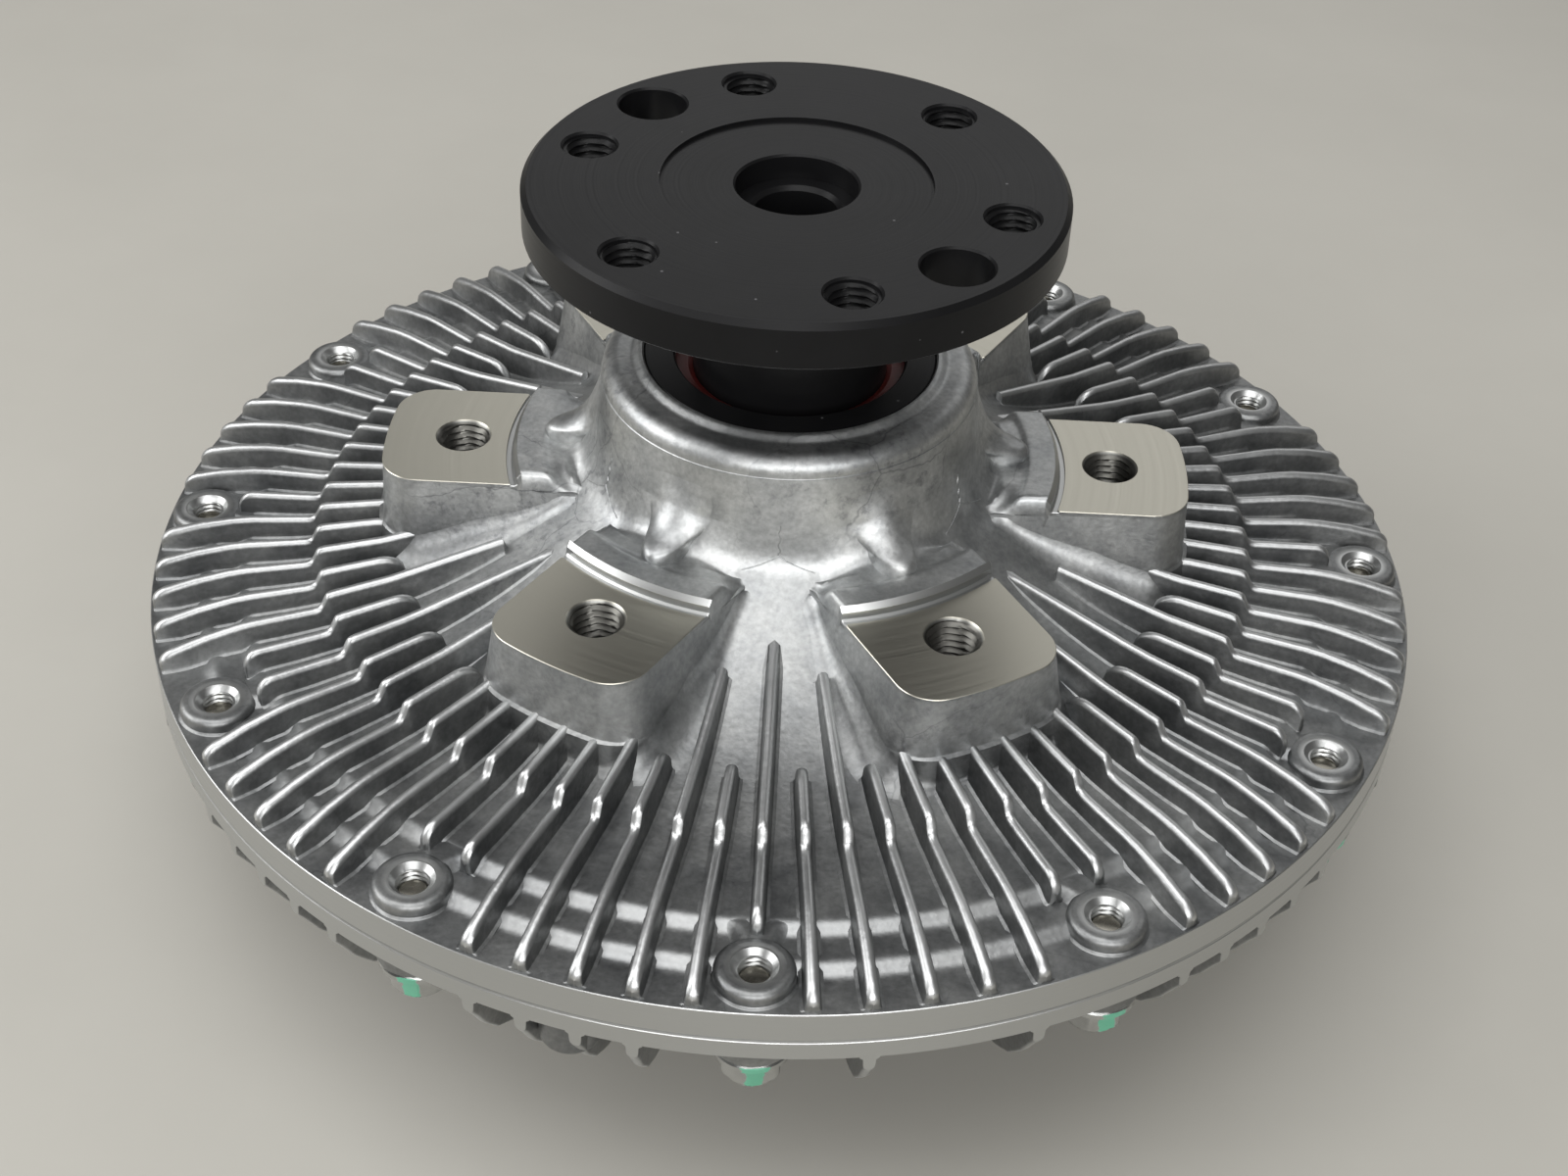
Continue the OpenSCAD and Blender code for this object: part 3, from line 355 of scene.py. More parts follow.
# %% Rounded outlines
def rounded(points, step, blur):
    """Walk a polyline in equal steps and average it with a bell of half-width blur; the ends stay."""
    points = np.asarray(points, float)
    along = np.concatenate([[0], np.cumsum(np.hypot(*np.diff(points, axis=0).T))])
    even = np.linspace(0, along[-1], max(int(along[-1] / step), 4) + 1)
    line = np.stack([np.interp(even, along, points[:, i]) for i in (0, 1)], axis=1)
    half = max(int(round(blur / step)), 1)
    weight = np.hanning(2 * half + 3)[1:-1]
    before = 2 * line[0] - line[half:0:-1]
    after = 2 * line[-1] - line[-2:-half - 2:-1]
    padded = np.concatenate([before, line, after])
    return np.stack([np.convolve(padded[:, i], weight / weight.sum(), "valid") for i in (0, 1)], axis=1)


def soft_step(t):
    """Smooth step from 0 to 1: t squared times (3 - 2 t), with t held between 0 and 1."""
    t = np.clip(t, 0, 1)
    return t ** 2 * (3 - 2 * t)


def quarter(r, z, radius, steps, up=1):
    """Quarter circle of points round (r, z): from straight out to straight up, or down where up is -1."""
    turn = np.linspace(0, math.pi / 2, steps)
    return np.stack([r + radius * np.cos(turn), z + up * radius * np.sin(turn)], axis=1)


print("a right angle rounded:", len(rounded([(0, 0), (5, 0), (5, 5)], 0.5, 1.0)), "points")

# %% [markdown]
# The housing's body is one turned shape. Its section follows the real casting: a flat rim, two low
# terraces, a hollow flare up to the hub, a drafted wall with a line of flash, a round shoulder and a low
# bead at the mouth. The turned rim and the bearing's bore keep their crisp chamfers. First the section is
# put together.

# %% Housing section
FLARE_H = 21.8
FLARE_POWER = 2.45
FLARE_START_R = DECK_R - 6
HUB_R = 36
HUB_FOOT_R = 39
SHOULDER_R = 3.6
BEAD_H = 1.1
FLASH_H = 0.15
MOUTH_R = 28
MOUTH_DEEP = 6
BEARING_R = 31
BEARING_FOOT_Z = 69
CHAMBER_R = 80
CEILING_Z = PARTING_Z + 3.5
CHAMFER = 0.3
RAMP = 2.2
RIM_EDGE = 0.16
SHOULDER_Z = MOUTH_Z - BEAD_H
FLASH_Z = SHOULDER_Z - SHOULDER_R - 2 * FLASH_H


def flare_z(r):
    """Height of the flare: the deck's height plus the flare's rise times a power of how far in r lies."""
    inward = np.clip((DECK_R - np.asarray(r, float)) / (DECK_R - HUB_FOOT_R), 0, None)
    return DECK_Z + FLARE_H * inward ** FLARE_POWER


terraces = rounded([
    (RIM_R - RIM_EDGE, RIM_TOP_Z), (BOLT_R, RIM_TOP_Z), (BOLT_R - RAMP, TERRACE_Z),
    (DECK_R + RAMP, TERRACE_Z), (DECK_R, DECK_Z), (FLARE_START_R, flare_z(FLARE_START_R)),
], step=0.4, blur=1.2)
flare_r = np.linspace(DECK_R, HUB_FOOT_R, 40)
flare_r = flare_r[flare_r < FLARE_START_R]
flare = rounded([
    *zip(flare_r, flare_z(flare_r)), (HUB_R + 0.8 * FLASH_H, FLASH_Z - 2 * FLASH_H),
], step=1.0, blur=6.0)
flash = [
    (HUB_R + 0.6 * FLASH_H, FLASH_Z - FLASH_H), (HUB_R + 1.2 * FLASH_H, FLASH_Z),
    (HUB_R + 0.2 * FLASH_H, FLASH_Z + FLASH_H),
]
shoulder = quarter(HUB_R - SHOULDER_R, SHOULDER_Z - SHOULDER_R, SHOULDER_R, 14)
bead = rounded([
    (HUB_R - SHOULDER_R - 0.1, SHOULDER_Z), (MOUTH_R + 2.3, SHOULDER_Z), (MOUTH_R + 0.8, MOUTH_Z - 0.05),
    (MOUTH_R + CHAMFER, MOUTH_Z),
], step=0.25, blur=0.5)
mouth = [
    (MOUTH_R, MOUTH_Z - CHAMFER), (MOUTH_R, MOUTH_Z - MOUTH_DEEP), (BEARING_R, MOUTH_Z - MOUTH_DEEP),
    (BEARING_R, BEARING_FOOT_Z), (BEARING_R + 5, BEARING_FOOT_Z - 5), (CHAMBER_R, CEILING_Z),
    (DECK_R, CEILING_Z), (DECK_R, PARTING_Z),
]
band = [
    (RIM_R - 0.1, PARTING_Z), (RIM_R, PARTING_Z + 0.1), (RIM_R, RIM_TOP_Z - RIM_EDGE),
    (RIM_R - RIM_EDGE + 0.02, RIM_TOP_Z - 0.02),
]
skin_line = np.concatenate([terraces, flare, flash, shoulder, bead])
housing_section = np.concatenate([skin_line, mouth, band])


def casting_z(r):
    """Height of the housing's as-cast skin at radius r, read off its own section."""
    order = np.argsort(skin_line[:, 0])
    return np.interp(r, skin_line[order, 0], skin_line[order, 1])


print("housing section:", len(housing_section), "points, hub foot at", casting_z(HUB_FOOT_R).round(1), "mm")

# %% [markdown]
# Turning the section gives the body. Where a bolt comes through, its skin would close the hole, so the
# points near each bolt's axis are lowered, and the boss that stands there brings its own bore. The ramps
# between the terraces get some of the crests' painted highlight, more where they are steeper.

# %% Housing body
BORE_CLEAR = 5.2
# Share of the crests' painted highlight that the steepest ramps get
BORE_FLOOR_Z = PARTING_Z + 2.5
RAMP_HIGHLIGHT = 0.3

housing_rings = turned(housing_section)
bolt_xy = BOLT_R * np.stack([np.cos(bolt_angles), np.sin(bolt_angles)], axis=1)
to_bolt = np.linalg.norm(housing_rings[:, :, None, :2] - bolt_xy, axis=-1).min(axis=2)
in_bore = (to_bolt < BORE_CLEAR) & (housing_rings[..., 2] > RIM_TOP_Z - 1)
housing_rings[..., 2] = np.where(in_bore, BORE_FLOOR_Z, housing_rings[..., 2])

housing_cut = np.where(np.arange(len(housing_section)) < len(skin_line), 0.0, 0.5)
terrace_slope = np.abs(np.gradient(terraces[:, 1]) / np.gradient(terraces[:, 0]))
# Painted highlight on the terrace ramps, stronger where they are steeper
ramp_highlight = np.zeros(len(housing_section))
ramp_highlight[:len(terraces)] = RAMP_HIGHLIGHT * np.clip(2.2 * terrace_slope - 0.2, 0, 1)
housing_body = piece("housing_body", housing_rings[None], cast, "housing", ring_shaped=True,
                     tags={"cut": housing_cut[:, None], "crest": ramp_highlight[:, None]})
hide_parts("housing")

# %% [markdown]
# A cast fin is a thin rib with a round crest, a little draft so that it leaves the die, and a hollow root.
# One function works out the rings of such ribs for all copies at once, so the cover's fins can use it
# again. The stations, where the rings lie, are close together only where a rib bends or ends.

# %% Ribs
BROW = np.linspace(math.pi, 0, 7)
ROOT = np.linspace(math.pi / 2, 0, 3)
# Painted highlight across each rib's crest, strongest along its top
RIB_HIGHLIGHT = np.concatenate([np.zeros(4), np.sin(BROW) ** 2, np.zeros(4)])


def rib_rings(r, base, top, half, root, angles, draft=0.03, sink=0.8, edge=2.0):
    """Cross-sections of radial ribs; r, base, top and half have the shape (ribs, stations).

    A ring goes up the hollow root, a quarter circle of radius root, up a side that leans in by draft times
    its height, over a crest of half-width half whose edges are rounded by edge, and down again. The foot lies
    sink under the base. A top below its base makes a rib that hangs down.
    """
    r, base, top, half = (np.asarray(v, float)[..., None] for v in np.broadcast_arrays(r, base, top, half))
    way = np.where(top >= base, 1.0, -1.0)
    tall = np.maximum(np.abs(top - base), 0.02)
    bend = np.minimum(half, edge)
    crown = np.minimum(bend, 0.8 * tall)
    hollow = np.minimum(root, 0.45 * tall)
    wide = half + draft * tall
    brow_y = (half - bend) * np.sign(np.round(np.cos(BROW), 6)) + bend * np.cos(BROW)
    brow_h = tall - crown + crown * np.sin(BROW)
    root_y, root_h = wide + hollow * (1 - np.cos(ROOT)), hollow * (1 - np.sin(ROOT))
    foot_y, foot_h = wide + hollow, np.full_like(wide, -sink)
    y = np.concatenate([-foot_y, -root_y, brow_y, root_y[..., ::-1], foot_y], axis=-1)
    h = np.concatenate([foot_h, root_h, brow_h, root_h[..., ::-1], foot_h], axis=-1)
    a = np.asarray(angles).reshape(-1, 1, 1)
    return xyz(r * np.cos(a) - y * np.sin(a), r * np.sin(a) + y * np.cos(a), base + way * h)


def stations(knots, counts):
    """Radii from knot to knot for every rib: knots is (ribs, n), and counts has the steps of each stretch."""
    t = np.concatenate([i + np.arange(n) / n for i, n in enumerate(counts)] + [[len(counts)]])
    i = np.minimum(t.astype(int), len(counts) - 1)
    return knots[:, i] + (knots[:, i + 1] - knots[:, i]) * (t - i)


def nose(r, end, length):
    """Factor that falls from 1 to 0 along a quarter ellipse over the last stretch before an end."""
    return np.sqrt(np.clip(1 - np.clip(1 - np.abs(end - r) / length, 0, 1) ** 2, 0, 1))


print("points round a rib:", len(RIB_HIGHLIGHT))

# %% [markdown]
# Eighty fins stand on the deck, and their crests step down on the way out. Every second one, counted from
# the middle of the gap between two pads, runs in to the flare; the others start further out, near the pads'
# outer edges. A fin that points at a bolt stops short of its boss. All of that is a choice of start and end
# for each fin, made on whole arrays.

# %% Housing fins
FIN_COUNT = 80
FIN_FRONT = 270
FIN_HALF = 0.98
FIN_WIDEN = 0.2
FIN_ROOT = 0.8
FIN_END_R = RIM_R - 0.5
FIN_BOSS_R = BOLT_R - 6.6
BOSS_REACH = 8
STEP_R = DECK_R - 15.4
SHORT_R = 75.6
LONG_R = 50.5
SIDE_R = 57.0
HIDDEN_R = 63.0

fin = np.arange(FIN_COUNT)
fin_deg = FIN_FRONT + fin * 360 / FIN_COUNT
gap_fin = np.round(np.round((fin_deg - FIN_FRONT) * PAD_COUNT / 360) * FIN_COUNT / PAD_COUNT)
from_gap = np.abs(fin - gap_fin)
is_long = from_gap % 2 == 0
bolt_step = 360 / BOLT_COUNT
off_bolt = BOLT_R * np.sin(np.radians(np.abs((fin_deg + bolt_step / 2) % bolt_step - bolt_step / 2)))
fin_start = np.select([~is_long, from_gap == 0, from_gap == 2], [SHORT_R, LONG_R, SIDE_R], HIDDEN_R)[:, None]
fin_end = np.where(off_bolt < BOSS_REACH, FIN_BOSS_R, FIN_END_R)[:, None]
step_knots = np.broadcast_to([STEP_R - 1.8, STEP_R + 4.2], (FIN_COUNT, 2))
fin_knots = np.concatenate([
    fin_start, fin_start + 7, step_knots, fin_end - 5, fin_end - 1.2, fin_end,
], axis=1)
fin_r = stations(fin_knots, (8, 8, 18, 7, 7, 7))

# The crest: radius and height above the deck
crest_r, crest_h = rounded([
    (LONG_R - 4, 14.6), (LONG_R - 0.5, 13.9), (SHORT_R + 4.4, 8.5), (STEP_R - 0.4, 7.6), (STEP_R + 0.6, 7.3),
    (STEP_R + 1.9, 4.7), (STEP_R + 3.0, 4.3), (DECK_R + 1, 4.2), (BOLT_R - 1, 2.9), (FIN_END_R, 0.6),
], step=0.2, blur=0.9).T
fin_base = casting_z(fin_r)
fin_h = np.maximum(DECK_Z + np.interp(fin_r, crest_r, crest_h) - fin_base, 0.02)
inner_nose = nose(fin_r, fin_start, np.where(is_long, 0.8, 5.5)[:, None])
outer_nose = 0.4 + 0.6 * nose(fin_r, fin_end, 3.0)
fin_half = FIN_HALF + FIN_WIDEN * np.clip((fin_r - DECK_R) / 14, 0, 1)
fin_half = fin_half * nose(fin_r, fin_end, 0.5) * nose(fin_r, fin_start, 0.9) + 0.02
fin_rings = rib_rings(fin_r, fin_base, fin_base + fin_h * outer_nose * inner_nose, fin_half, FIN_ROOT,
                      np.radians(fin_deg))
piece("housing_fins", fin_rings, cast, "housing", tags={"crest": RIB_HIGHLIGHT})

# %% [markdown]
# Six pads carry the fan. All rings of a pad follow the same plan: an arc beside the register, two straight
# sides, two round corners and an arc for the outer edge. The plan's points are spread evenly along it, and
# each has a normal, so a wall is made by pushing the plan outwards.

# %% Plan of a pad
PAD_W = 31.5
PAD_OUTER_R = 78.7
PAD_CORNER = 7.5
REGISTER_R = 53.5
RELIEF_W = 1.4
PAD_POINTS = 144


def pad_plan():
    """Even points and outward normals of a pad's plan: inner arc, side, corner, outer arc, corner, side."""
    half, inner = PAD_W / 2, REGISTER_R + RELIEF_W
    reach, side = PAD_OUTER_R - PAD_CORNER, half - PAD_CORNER
    centre_x, turn = math.sqrt(reach ** 2 - side ** 2), math.asin(side / reach)
    into = np.linspace(math.asin(half / inner), -math.asin(half / inner), 60)
    lower = np.linspace(-math.pi / 2, -turn, 40)
    outer = np.linspace(-turn, turn, 40)[1:-1]
    corner = np.stack([centre_x + PAD_CORNER * np.cos(lower), -side + PAD_CORNER * np.sin(lower)], axis=1)
    outline = np.concatenate([
        inner * np.stack([np.cos(into), np.sin(into)], axis=1), corner,
        PAD_OUTER_R * np.stack([np.cos(outer), np.sin(outer)], axis=1), corner[::-1] * [1, -1],
    ])
    closed = np.concatenate([outline, outline[:1]])
    along = np.concatenate([[0], np.cumsum(np.hypot(*np.diff(closed, axis=0).T))])
    even = np.linspace(0, along[-1], PAD_POINTS, endpoint=False)
    points = np.stack([np.interp(even, along, closed[:, i]) for i in (0, 1)], axis=1)
    tangent = np.roll(points, -1, axis=0) - np.roll(points, 1, axis=0)
    tangent /= np.hypot(*tangent.T)[:, None]
    return points, np.stack([tangent[:, 1], -tangent[:, 0]], axis=1)


def pushed(outline, out):
    """x and y of an outline that is pushed outwards: each point goes along its normal by its own out."""
    return np.moveaxis(outline + normal * np.asarray(out)[..., None], -1, 0)


plan, normal = pad_plan()
faces_out = np.clip(normal[:, 0], 0, 1) ** 2
faces_in = np.clip(-normal[:, 0], 0, 1)
print("pad plan:", len(plan), "points from", plan[:, 0].min().round(1), "to", plan[:, 0].max().round(1), "mm")

# %% [markdown]
# The cast walls lean out and end in a hollow fillet on the flare, so the foot of each wall is worked out
# from the flare's own height. Outside there is a small ledge, as is left where two halves of a die meet.
# Towards the hub the walls run on under the register block, so there the plan is stretched inwards.

# %% Walls of the pads
LEDGE_Z = 68.0
LEDGE_W = 0.9
WALL_INNER_X = 38.5
WALL_DROP = 0.9
SIDE_LEAN = 0.20
FRONT_LEAN = 0.05
BRIM = 0.85

corner_x = plan[np.abs(plan[:, 1]) > PAD_W / 2 - 0.01, 0].max()
stretch = (corner_x - WALL_INNER_X) / (corner_x - plan[:, 0].min())
wall_x = np.minimum(plan[:, 0], corner_x - (corner_x - plan[:, 0]) * stretch)
wall_plan = np.stack([wall_x, plan[:, 1]], axis=1)
wall_r = np.hypot(*wall_plan.T)
wall_top = PAD_Z - WALL_DROP - 0.6 * np.clip((HUB_R + 11 - wall_x) / 4, 0, 1)
lean = (SIDE_LEAN * (1 - faces_out) + FRONT_LEAN * faces_out) * (1 - faces_in)
ledge = LEDGE_W * faces_out

fillet = (2.0 + 3.0 * np.clip((wall_r - HUB_R - 12) / 14, 0, 1)) * (1 - faces_out) + 1.1 * faces_out
fillet = np.minimum(fillet, 0.7 * np.maximum(PAD_Z - casting_z(wall_r), 0.3))
fillet = fillet * (1 - faces_in) + 0.2 * faces_in
bend = np.linspace(0, math.pi / 2, 7)[:, None]
climb = fillet * (1 - np.cos(bend))
out = fillet * (1 - np.sin(bend))
tall = PAD_Z - casting_z(np.hypot(*pushed(wall_plan, out)))
fillet_x, fillet_y = pushed(wall_plan, out + lean * (tall - climb) + ledge)
fillet_z = np.minimum(casting_z(np.hypot(fillet_x, fillet_y)) + climb, wall_top - 0.4)
fillet_rows = xyz(fillet_x, fillet_y, fillet_z)

ledge_z = np.maximum(fillet_z[-1], LEDGE_Z) + np.array([0, 0.35, 0.7])[:, None]
ledge_z = np.minimum(ledge_z, wall_top - 0.1)
ledge_out = ledge * np.array([1, 0.15, 0])[:, None]
ledge_rows = xyz(*pushed(wall_plan, ledge_out + lean * (PAD_Z - ledge_z)), ledge_z)
top_row = xyz(*pushed(wall_plan, lean * (PAD_Z - wall_top)), wall_top)
brim_row = xyz(*pushed(plan, lean * BRIM), PAD_Z - BRIM)
wall_rows = np.concatenate([fillet_rows, ledge_rows, [top_row, brim_row]])
print("wall of a pad:", len(wall_rows), "rows, largest fillet", fillet.max().round(1), "mm")

# %% [markdown]
# A pad is one closed surface. It starts under the flare, climbs the walls, crosses the milled face and goes
# down the threaded hole to the drill's point. A thread is a helix: the wall's radius is a triangle wave of
# the depth, shifted by the turn, so the ridges climb by one pitch on the way round.

# %% Fan pads
THREAD_PITCH = 1.5
THREAD_DEEP = 0.8
MOUTH_FLARE = 0.5
HOLE_DEEP = 13
DRILL_DEEP = 15.5


def thread_r(angle, depth, outer, pitch, deep):
    """Radius of a tapped hole's wall: outer less a triangle wave of depth / pitch minus the turn's share."""
    phase = (depth / pitch - angle / (2 * math.pi)) % 1
    return outer - deep * (1 - np.abs(2 * phase - 1))


hole_angle = np.arctan2(plan[:, 1], plan[:, 0] - PAD_BOLT_R)
hole_x, hole_y = np.cos(hole_angle), np.sin(hole_angle)
foot_row = xyz(*plan.T, DECK_Z)
under_row = fillet_rows[0] - [0, 0, 2.0]
edge_row = xyz(*pushed(plan, np.full(PAD_POINTS, 0.12)), PAD_Z - 0.14)
share = np.array([0, 0.3, 0.65, 1])[:, None]
hole_mouth = THREAD_R + MOUTH_FLARE
face_rows = xyz((1 - share) * plan[:, 0] + share * (PAD_BOLT_R + hole_mouth * hole_x),
                (1 - share) * plan[:, 1] + share * hole_mouth * hole_y, PAD_Z)
depth = np.linspace(MOUTH_FLARE, HOLE_DEEP, 60)[:, None]
ridge_deep = THREAD_DEEP * np.minimum(depth / MOUTH_FLARE - 1, 1)
hole_r = thread_r(hole_angle, depth, THREAD_R, THREAD_PITCH, ridge_deep)
hole_rows = xyz(PAD_BOLT_R + hole_r * hole_x, hole_r * hole_y, PAD_Z - depth)
tip_row = xyz(PAD_BOLT_R + hole_x, hole_y, PAD_Z - DRILL_DEEP)
pad_rings = np.concatenate([
    [foot_row, under_row], wall_rows, [edge_row, edge_row], face_rows, hole_rows, [tip_row],
])
pad_cut = np.repeat([0.0, 1.0, 0.5], [len(wall_rows) + 3, len(face_rows) + 1, len(hole_rows) + 1])
# Threads of the pads' holes get painted shade
piece("fan_pads", spread(pad_rings, pad_angles), cast, "housing",
      tags={"cut": pad_cut[:, None], "hole_shade": (pad_cut == 0.5)[:, None]}, sharp=math.radians(30))

# %% [markdown]
# Behind each face stands the register, a turned lip that centres the fan, on a cast block. One section is
# carried along the pad's width. Past the pad's sides it drops off, the lip later and more sharply than the
# cast top, and towards the hub it melts into the skin, so that the block looks grown out of the casting.

# %% Register blocks
LIP_Z = PAD_Z + 2.5
LIP_CHAMFER = 0.8
BLOCK_FOOT_Z = 66
HUB_INSIDE = 33.0

block_face = [
    (REGISTER_R + 4, BLOCK_FOOT_Z), (REGISTER_R + 4, PAD_Z - 0.4), (REGISTER_R + 0.4, PAD_Z - 0.4),
    (REGISTER_R, PAD_Z), (REGISTER_R, LIP_Z - 1.1), (REGISTER_R - LIP_CHAMFER, LIP_Z),
]
block_top = [HUB_R, LIP_Z] + rounded([
    (REGISTER_R - HUB_R - LIP_CHAMFER - 0.05, 0), (11.6, -0.1), (10.8, -0.8), (7.5, -0.9), (5.6, -0.5),
    (4.4, 0.3), (3.4, 2.0), (2.6, 4.2), (1.0, 8.0),
], step=0.4, blur=0.8)
block_back = [(HUB_INSIDE, LIP_Z + 9.3), (HUB_INSIDE, BLOCK_FOOT_Z + 6)]
block_section = np.concatenate([block_face, block_top, block_back])
block_r, block_z = block_section.T
block_cut = np.where(np.arange(len(block_section)) < len(block_face), 0.5, 0.0)

end_w = PAD_W / 2 + np.concatenate([np.linspace(-1.75, 0.65, 17), [2.25, 4.25, 6.65]])
block_w = np.concatenate([-end_w[::-1], np.linspace(-13, 13, 15), end_w])[:, None]
past = np.abs(block_w) - PAD_W / 2
cast_drop = np.interp(past, [-1.55, -0.95, -0.55, -0.2, 0.1, 0.35, 6.65], [0, 0.2, 0.65, 1.5, 2.6, 4.5, 45])
lip_drop = np.interp(past, [0, 0.15, 0.35, 6.65], [0, 0.3, 3.4, 45])
dropped = np.maximum(block_z - np.where(block_cut > 0, lip_drop, cast_drop), BLOCK_FOOT_Z + 1)
dropped = np.where(block_z > BLOCK_FOOT_Z + 9, dropped, block_z)
back_melt = np.clip((HUB_R + 7.5 - block_r) / 2.0, 0, 1) * soft_step((np.abs(block_w) - 5.0) / 9.0)
end_melt = np.clip((HUB_R + 11.0 - block_r) / 5.0, 0, 1) * soft_step((np.abs(block_w) - 11.0) / 4.5)
melted = np.minimum(dropped, casting_z(block_r) - 0.06)
block_rings = xyz(np.sqrt(block_r ** 2 - block_w ** 2), block_w,
                  dropped + (melted - dropped) * np.maximum(back_melt, end_melt))
piece("register_blocks", spread(block_rings, pad_angles), cast, "housing",
      tags={"cut": block_cut * (past < 0.2)})

# %% [markdown]
# A short round finger, the gusset, stiffens each block against the hub. It is a stack of level slices. Each
# slice reaches from the hub's wall out to the finger's ridge with a bell-shaped front, which is blunt at
# the tip and slender higher up, where the finger runs out into the wall.

# %% Gussets
GUSSET_FOOT_Z = PAD_Z - 1.7
GUSSET_H = 18

gusset_up = np.linspace(0, GUSSET_H, 55)[:, None]
gusset_z = GUSSET_FOOT_Z + gusset_up
saddle = block_top[block_top[:, 0] < HUB_R + 5.6]
on_wall = np.interp(gusset_z, np.append(flare[:, 1], MOUTH_Z), np.append(flare[:, 0], HUB_R))
on_saddle = np.interp(gusset_z, saddle[:, 1], saddle[:, 0], right=0)
root_r = np.maximum(on_wall, on_saddle)
ridge_up, ridge_out = rounded([
    (0, 11.5), (4.7, 11.5), (5.6, 11.0), (6.2, 9.8), (6.7, 8.2), (7.8, 6.2), (9.4, 4.4), (11.6, 2.8),
    (14.2, 1.6), (GUSSET_H, 0.2),
], step=0.2, blur=0.7).T
ridge_r = np.maximum(HUB_R + np.interp(gusset_up, ridge_up, ridge_out), root_r)
gusset_half = np.interp(gusset_up, [5.6, 7, 12, 17], [4.2, 5.4, 8.0, 8.5])
slender = np.interp(gusset_up, [5.8, 7.2, 11], [0.5, 0.9, 2.4])
across = np.sin(np.linspace(-math.pi / 2, math.pi / 2, 29))
bell = (1 - across ** 2) ** slender
gusset_y = gusset_half * across
gusset_front = np.sqrt((root_r - 0.06 + (ridge_r - root_r) * bell) ** 2 - gusset_y ** 2)
gusset_back = np.sqrt(HUB_INSIDE ** 2 - gusset_y ** 2)
gusset_rings = xyz(np.concatenate([gusset_front, gusset_back[:, ::-1]], axis=1),
                   np.concatenate([gusset_y, gusset_y[:, ::-1]], axis=1), gusset_z)
piece("gussets", spread(gusset_rings, pad_angles), cast, "housing")

# %% [markdown]
# Where the slides of a die meet, a thin line of flash is left. In each valley between two pads it makes a
# low roof with a stem above it: threads of metal swept along paths that lie on the hub's foot.

# %% Flash lines
FLASH_R = 0.13


def thread_on_skin(r, y):
    """Rings of a thread: circles of radius FLASH_R round a path on the skin, square to its direction."""
    path = np.stack([np.sqrt(r ** 2 - y ** 2), y, casting_z(r)], axis=1)
    ahead = np.gradient(path, axis=0)
    ahead /= np.linalg.norm(ahead, axis=1)[:, None]
    aside = np.cross(ahead, [1.0, 0, 0.3])
    aside /= np.linalg.norm(aside, axis=1)[:, None]
    above = np.cross(aside, ahead)
    around = np.linspace(0, 2 * math.pi, 8, endpoint=False)[:, None]
    return path[:, None] + FLASH_R * (np.cos(around) * aside[:, None] + np.sin(around) * above[:, None])


along_flash = np.linspace(-1, 1, 41)
roof = thread_on_skin(HUB_R + 2.8 + 1.5 * np.abs(along_flash), 6.8 * along_flash)
stem = thread_on_skin(HUB_R + 2.2 - 0.6 * along_flash, 0.2 * np.sin(9 * along_flash))
valley_angles = pad_angles + math.pi / PAD_COUNT
flash_rings = np.concatenate([spread(roof, valley_angles), spread(stem, valley_angles)])
piece("flash_lines", flash_rings, cast, "housing")

# %% [markdown]
# Twelve round bosses take the cover's bolts. A boss is a stack of circles from its hollow foot over the
# round edge and the flat top, down the countersink and into the threaded hole, where the bolt's end shows.
# The bosses end flush with the turned rim, so no point may lie outside it.

# %% Rim bosses
BOSS_R = 6.9
BOSS_EDGE = 1.3
BOSS_FOOT = 0.6
COUNTERSINK_R = 4.0
BOLT_THREAD_R = 3.05
BOLT_THREAD_DEEP = 0.35
BOLT_PITCH = 1.0
RIM_INSIDE_R = RIM_R - 0.05
around = np.linspace(0, 2 * math.pi, 72, endpoint=False)

boss_foot = [
    (BOSS_R + BOSS_FOOT, RIM_TOP_Z - 1.5), (BOSS_R + BOSS_FOOT, RIM_TOP_Z - 0.05),
    (BOSS_R + 0.25, RIM_TOP_Z + 0.1), (BOSS_R, RIM_TOP_Z + 0.4),
]
boss_edge = quarter(BOSS_R - BOSS_EDGE, DECK_Z - BOSS_EDGE, BOSS_EDGE, 9)
boss_outside = np.concatenate([boss_foot, boss_edge])
countersink = [(COUNTERSINK_R, DECK_Z), (BOLT_THREAD_R, DECK_Z - COUNTERSINK_R + BOLT_THREAD_R)]
boss_depth = np.linspace(1.0, 4.4, 28)[:, None]
bore_r = thread_r(around, boss_depth, BOLT_THREAD_R, BOLT_PITCH, BOLT_THREAD_DEEP)
boss_rings = np.concatenate([
    turned(boss_outside, around), turned(countersink, around),
    xyz(bore_r * np.cos(around), bore_r * np.sin(around), DECK_Z - boss_depth),
])
boss_rings = trimmed(boss_rings + [BOLT_R, 0, 0], RIM_INSIDE_R)
boss_row = np.arange(len(boss_rings))
boss_cut = np.where(boss_row < len(boss_outside), 0.0, 0.5)
# Threads deeper in the boss's bore get a lighter painted shade
boss_hole_shade = np.where(boss_row > len(boss_outside) + len(countersink), 0.3, 0.0)
piece("rim_bosses", spread(boss_rings, bolt_angles), cast, "housing",
      tags={"cut": boss_cut[:, None], "hole_shade": boss_hole_shade[:, None]})

# %% [markdown]
# A low web joins each boss to the deck behind it. It is a patch of the housing's own skin that is lifted to
# the deck's height in the middle and stays just under the skin at its sides, so its edges fade into the
# casting.

# %% Boss webs
WEB_HALF = 4.3
WEB_FLARE = 1.6
WEB_SIDE = 6.2
WEB_FADE = 3.2

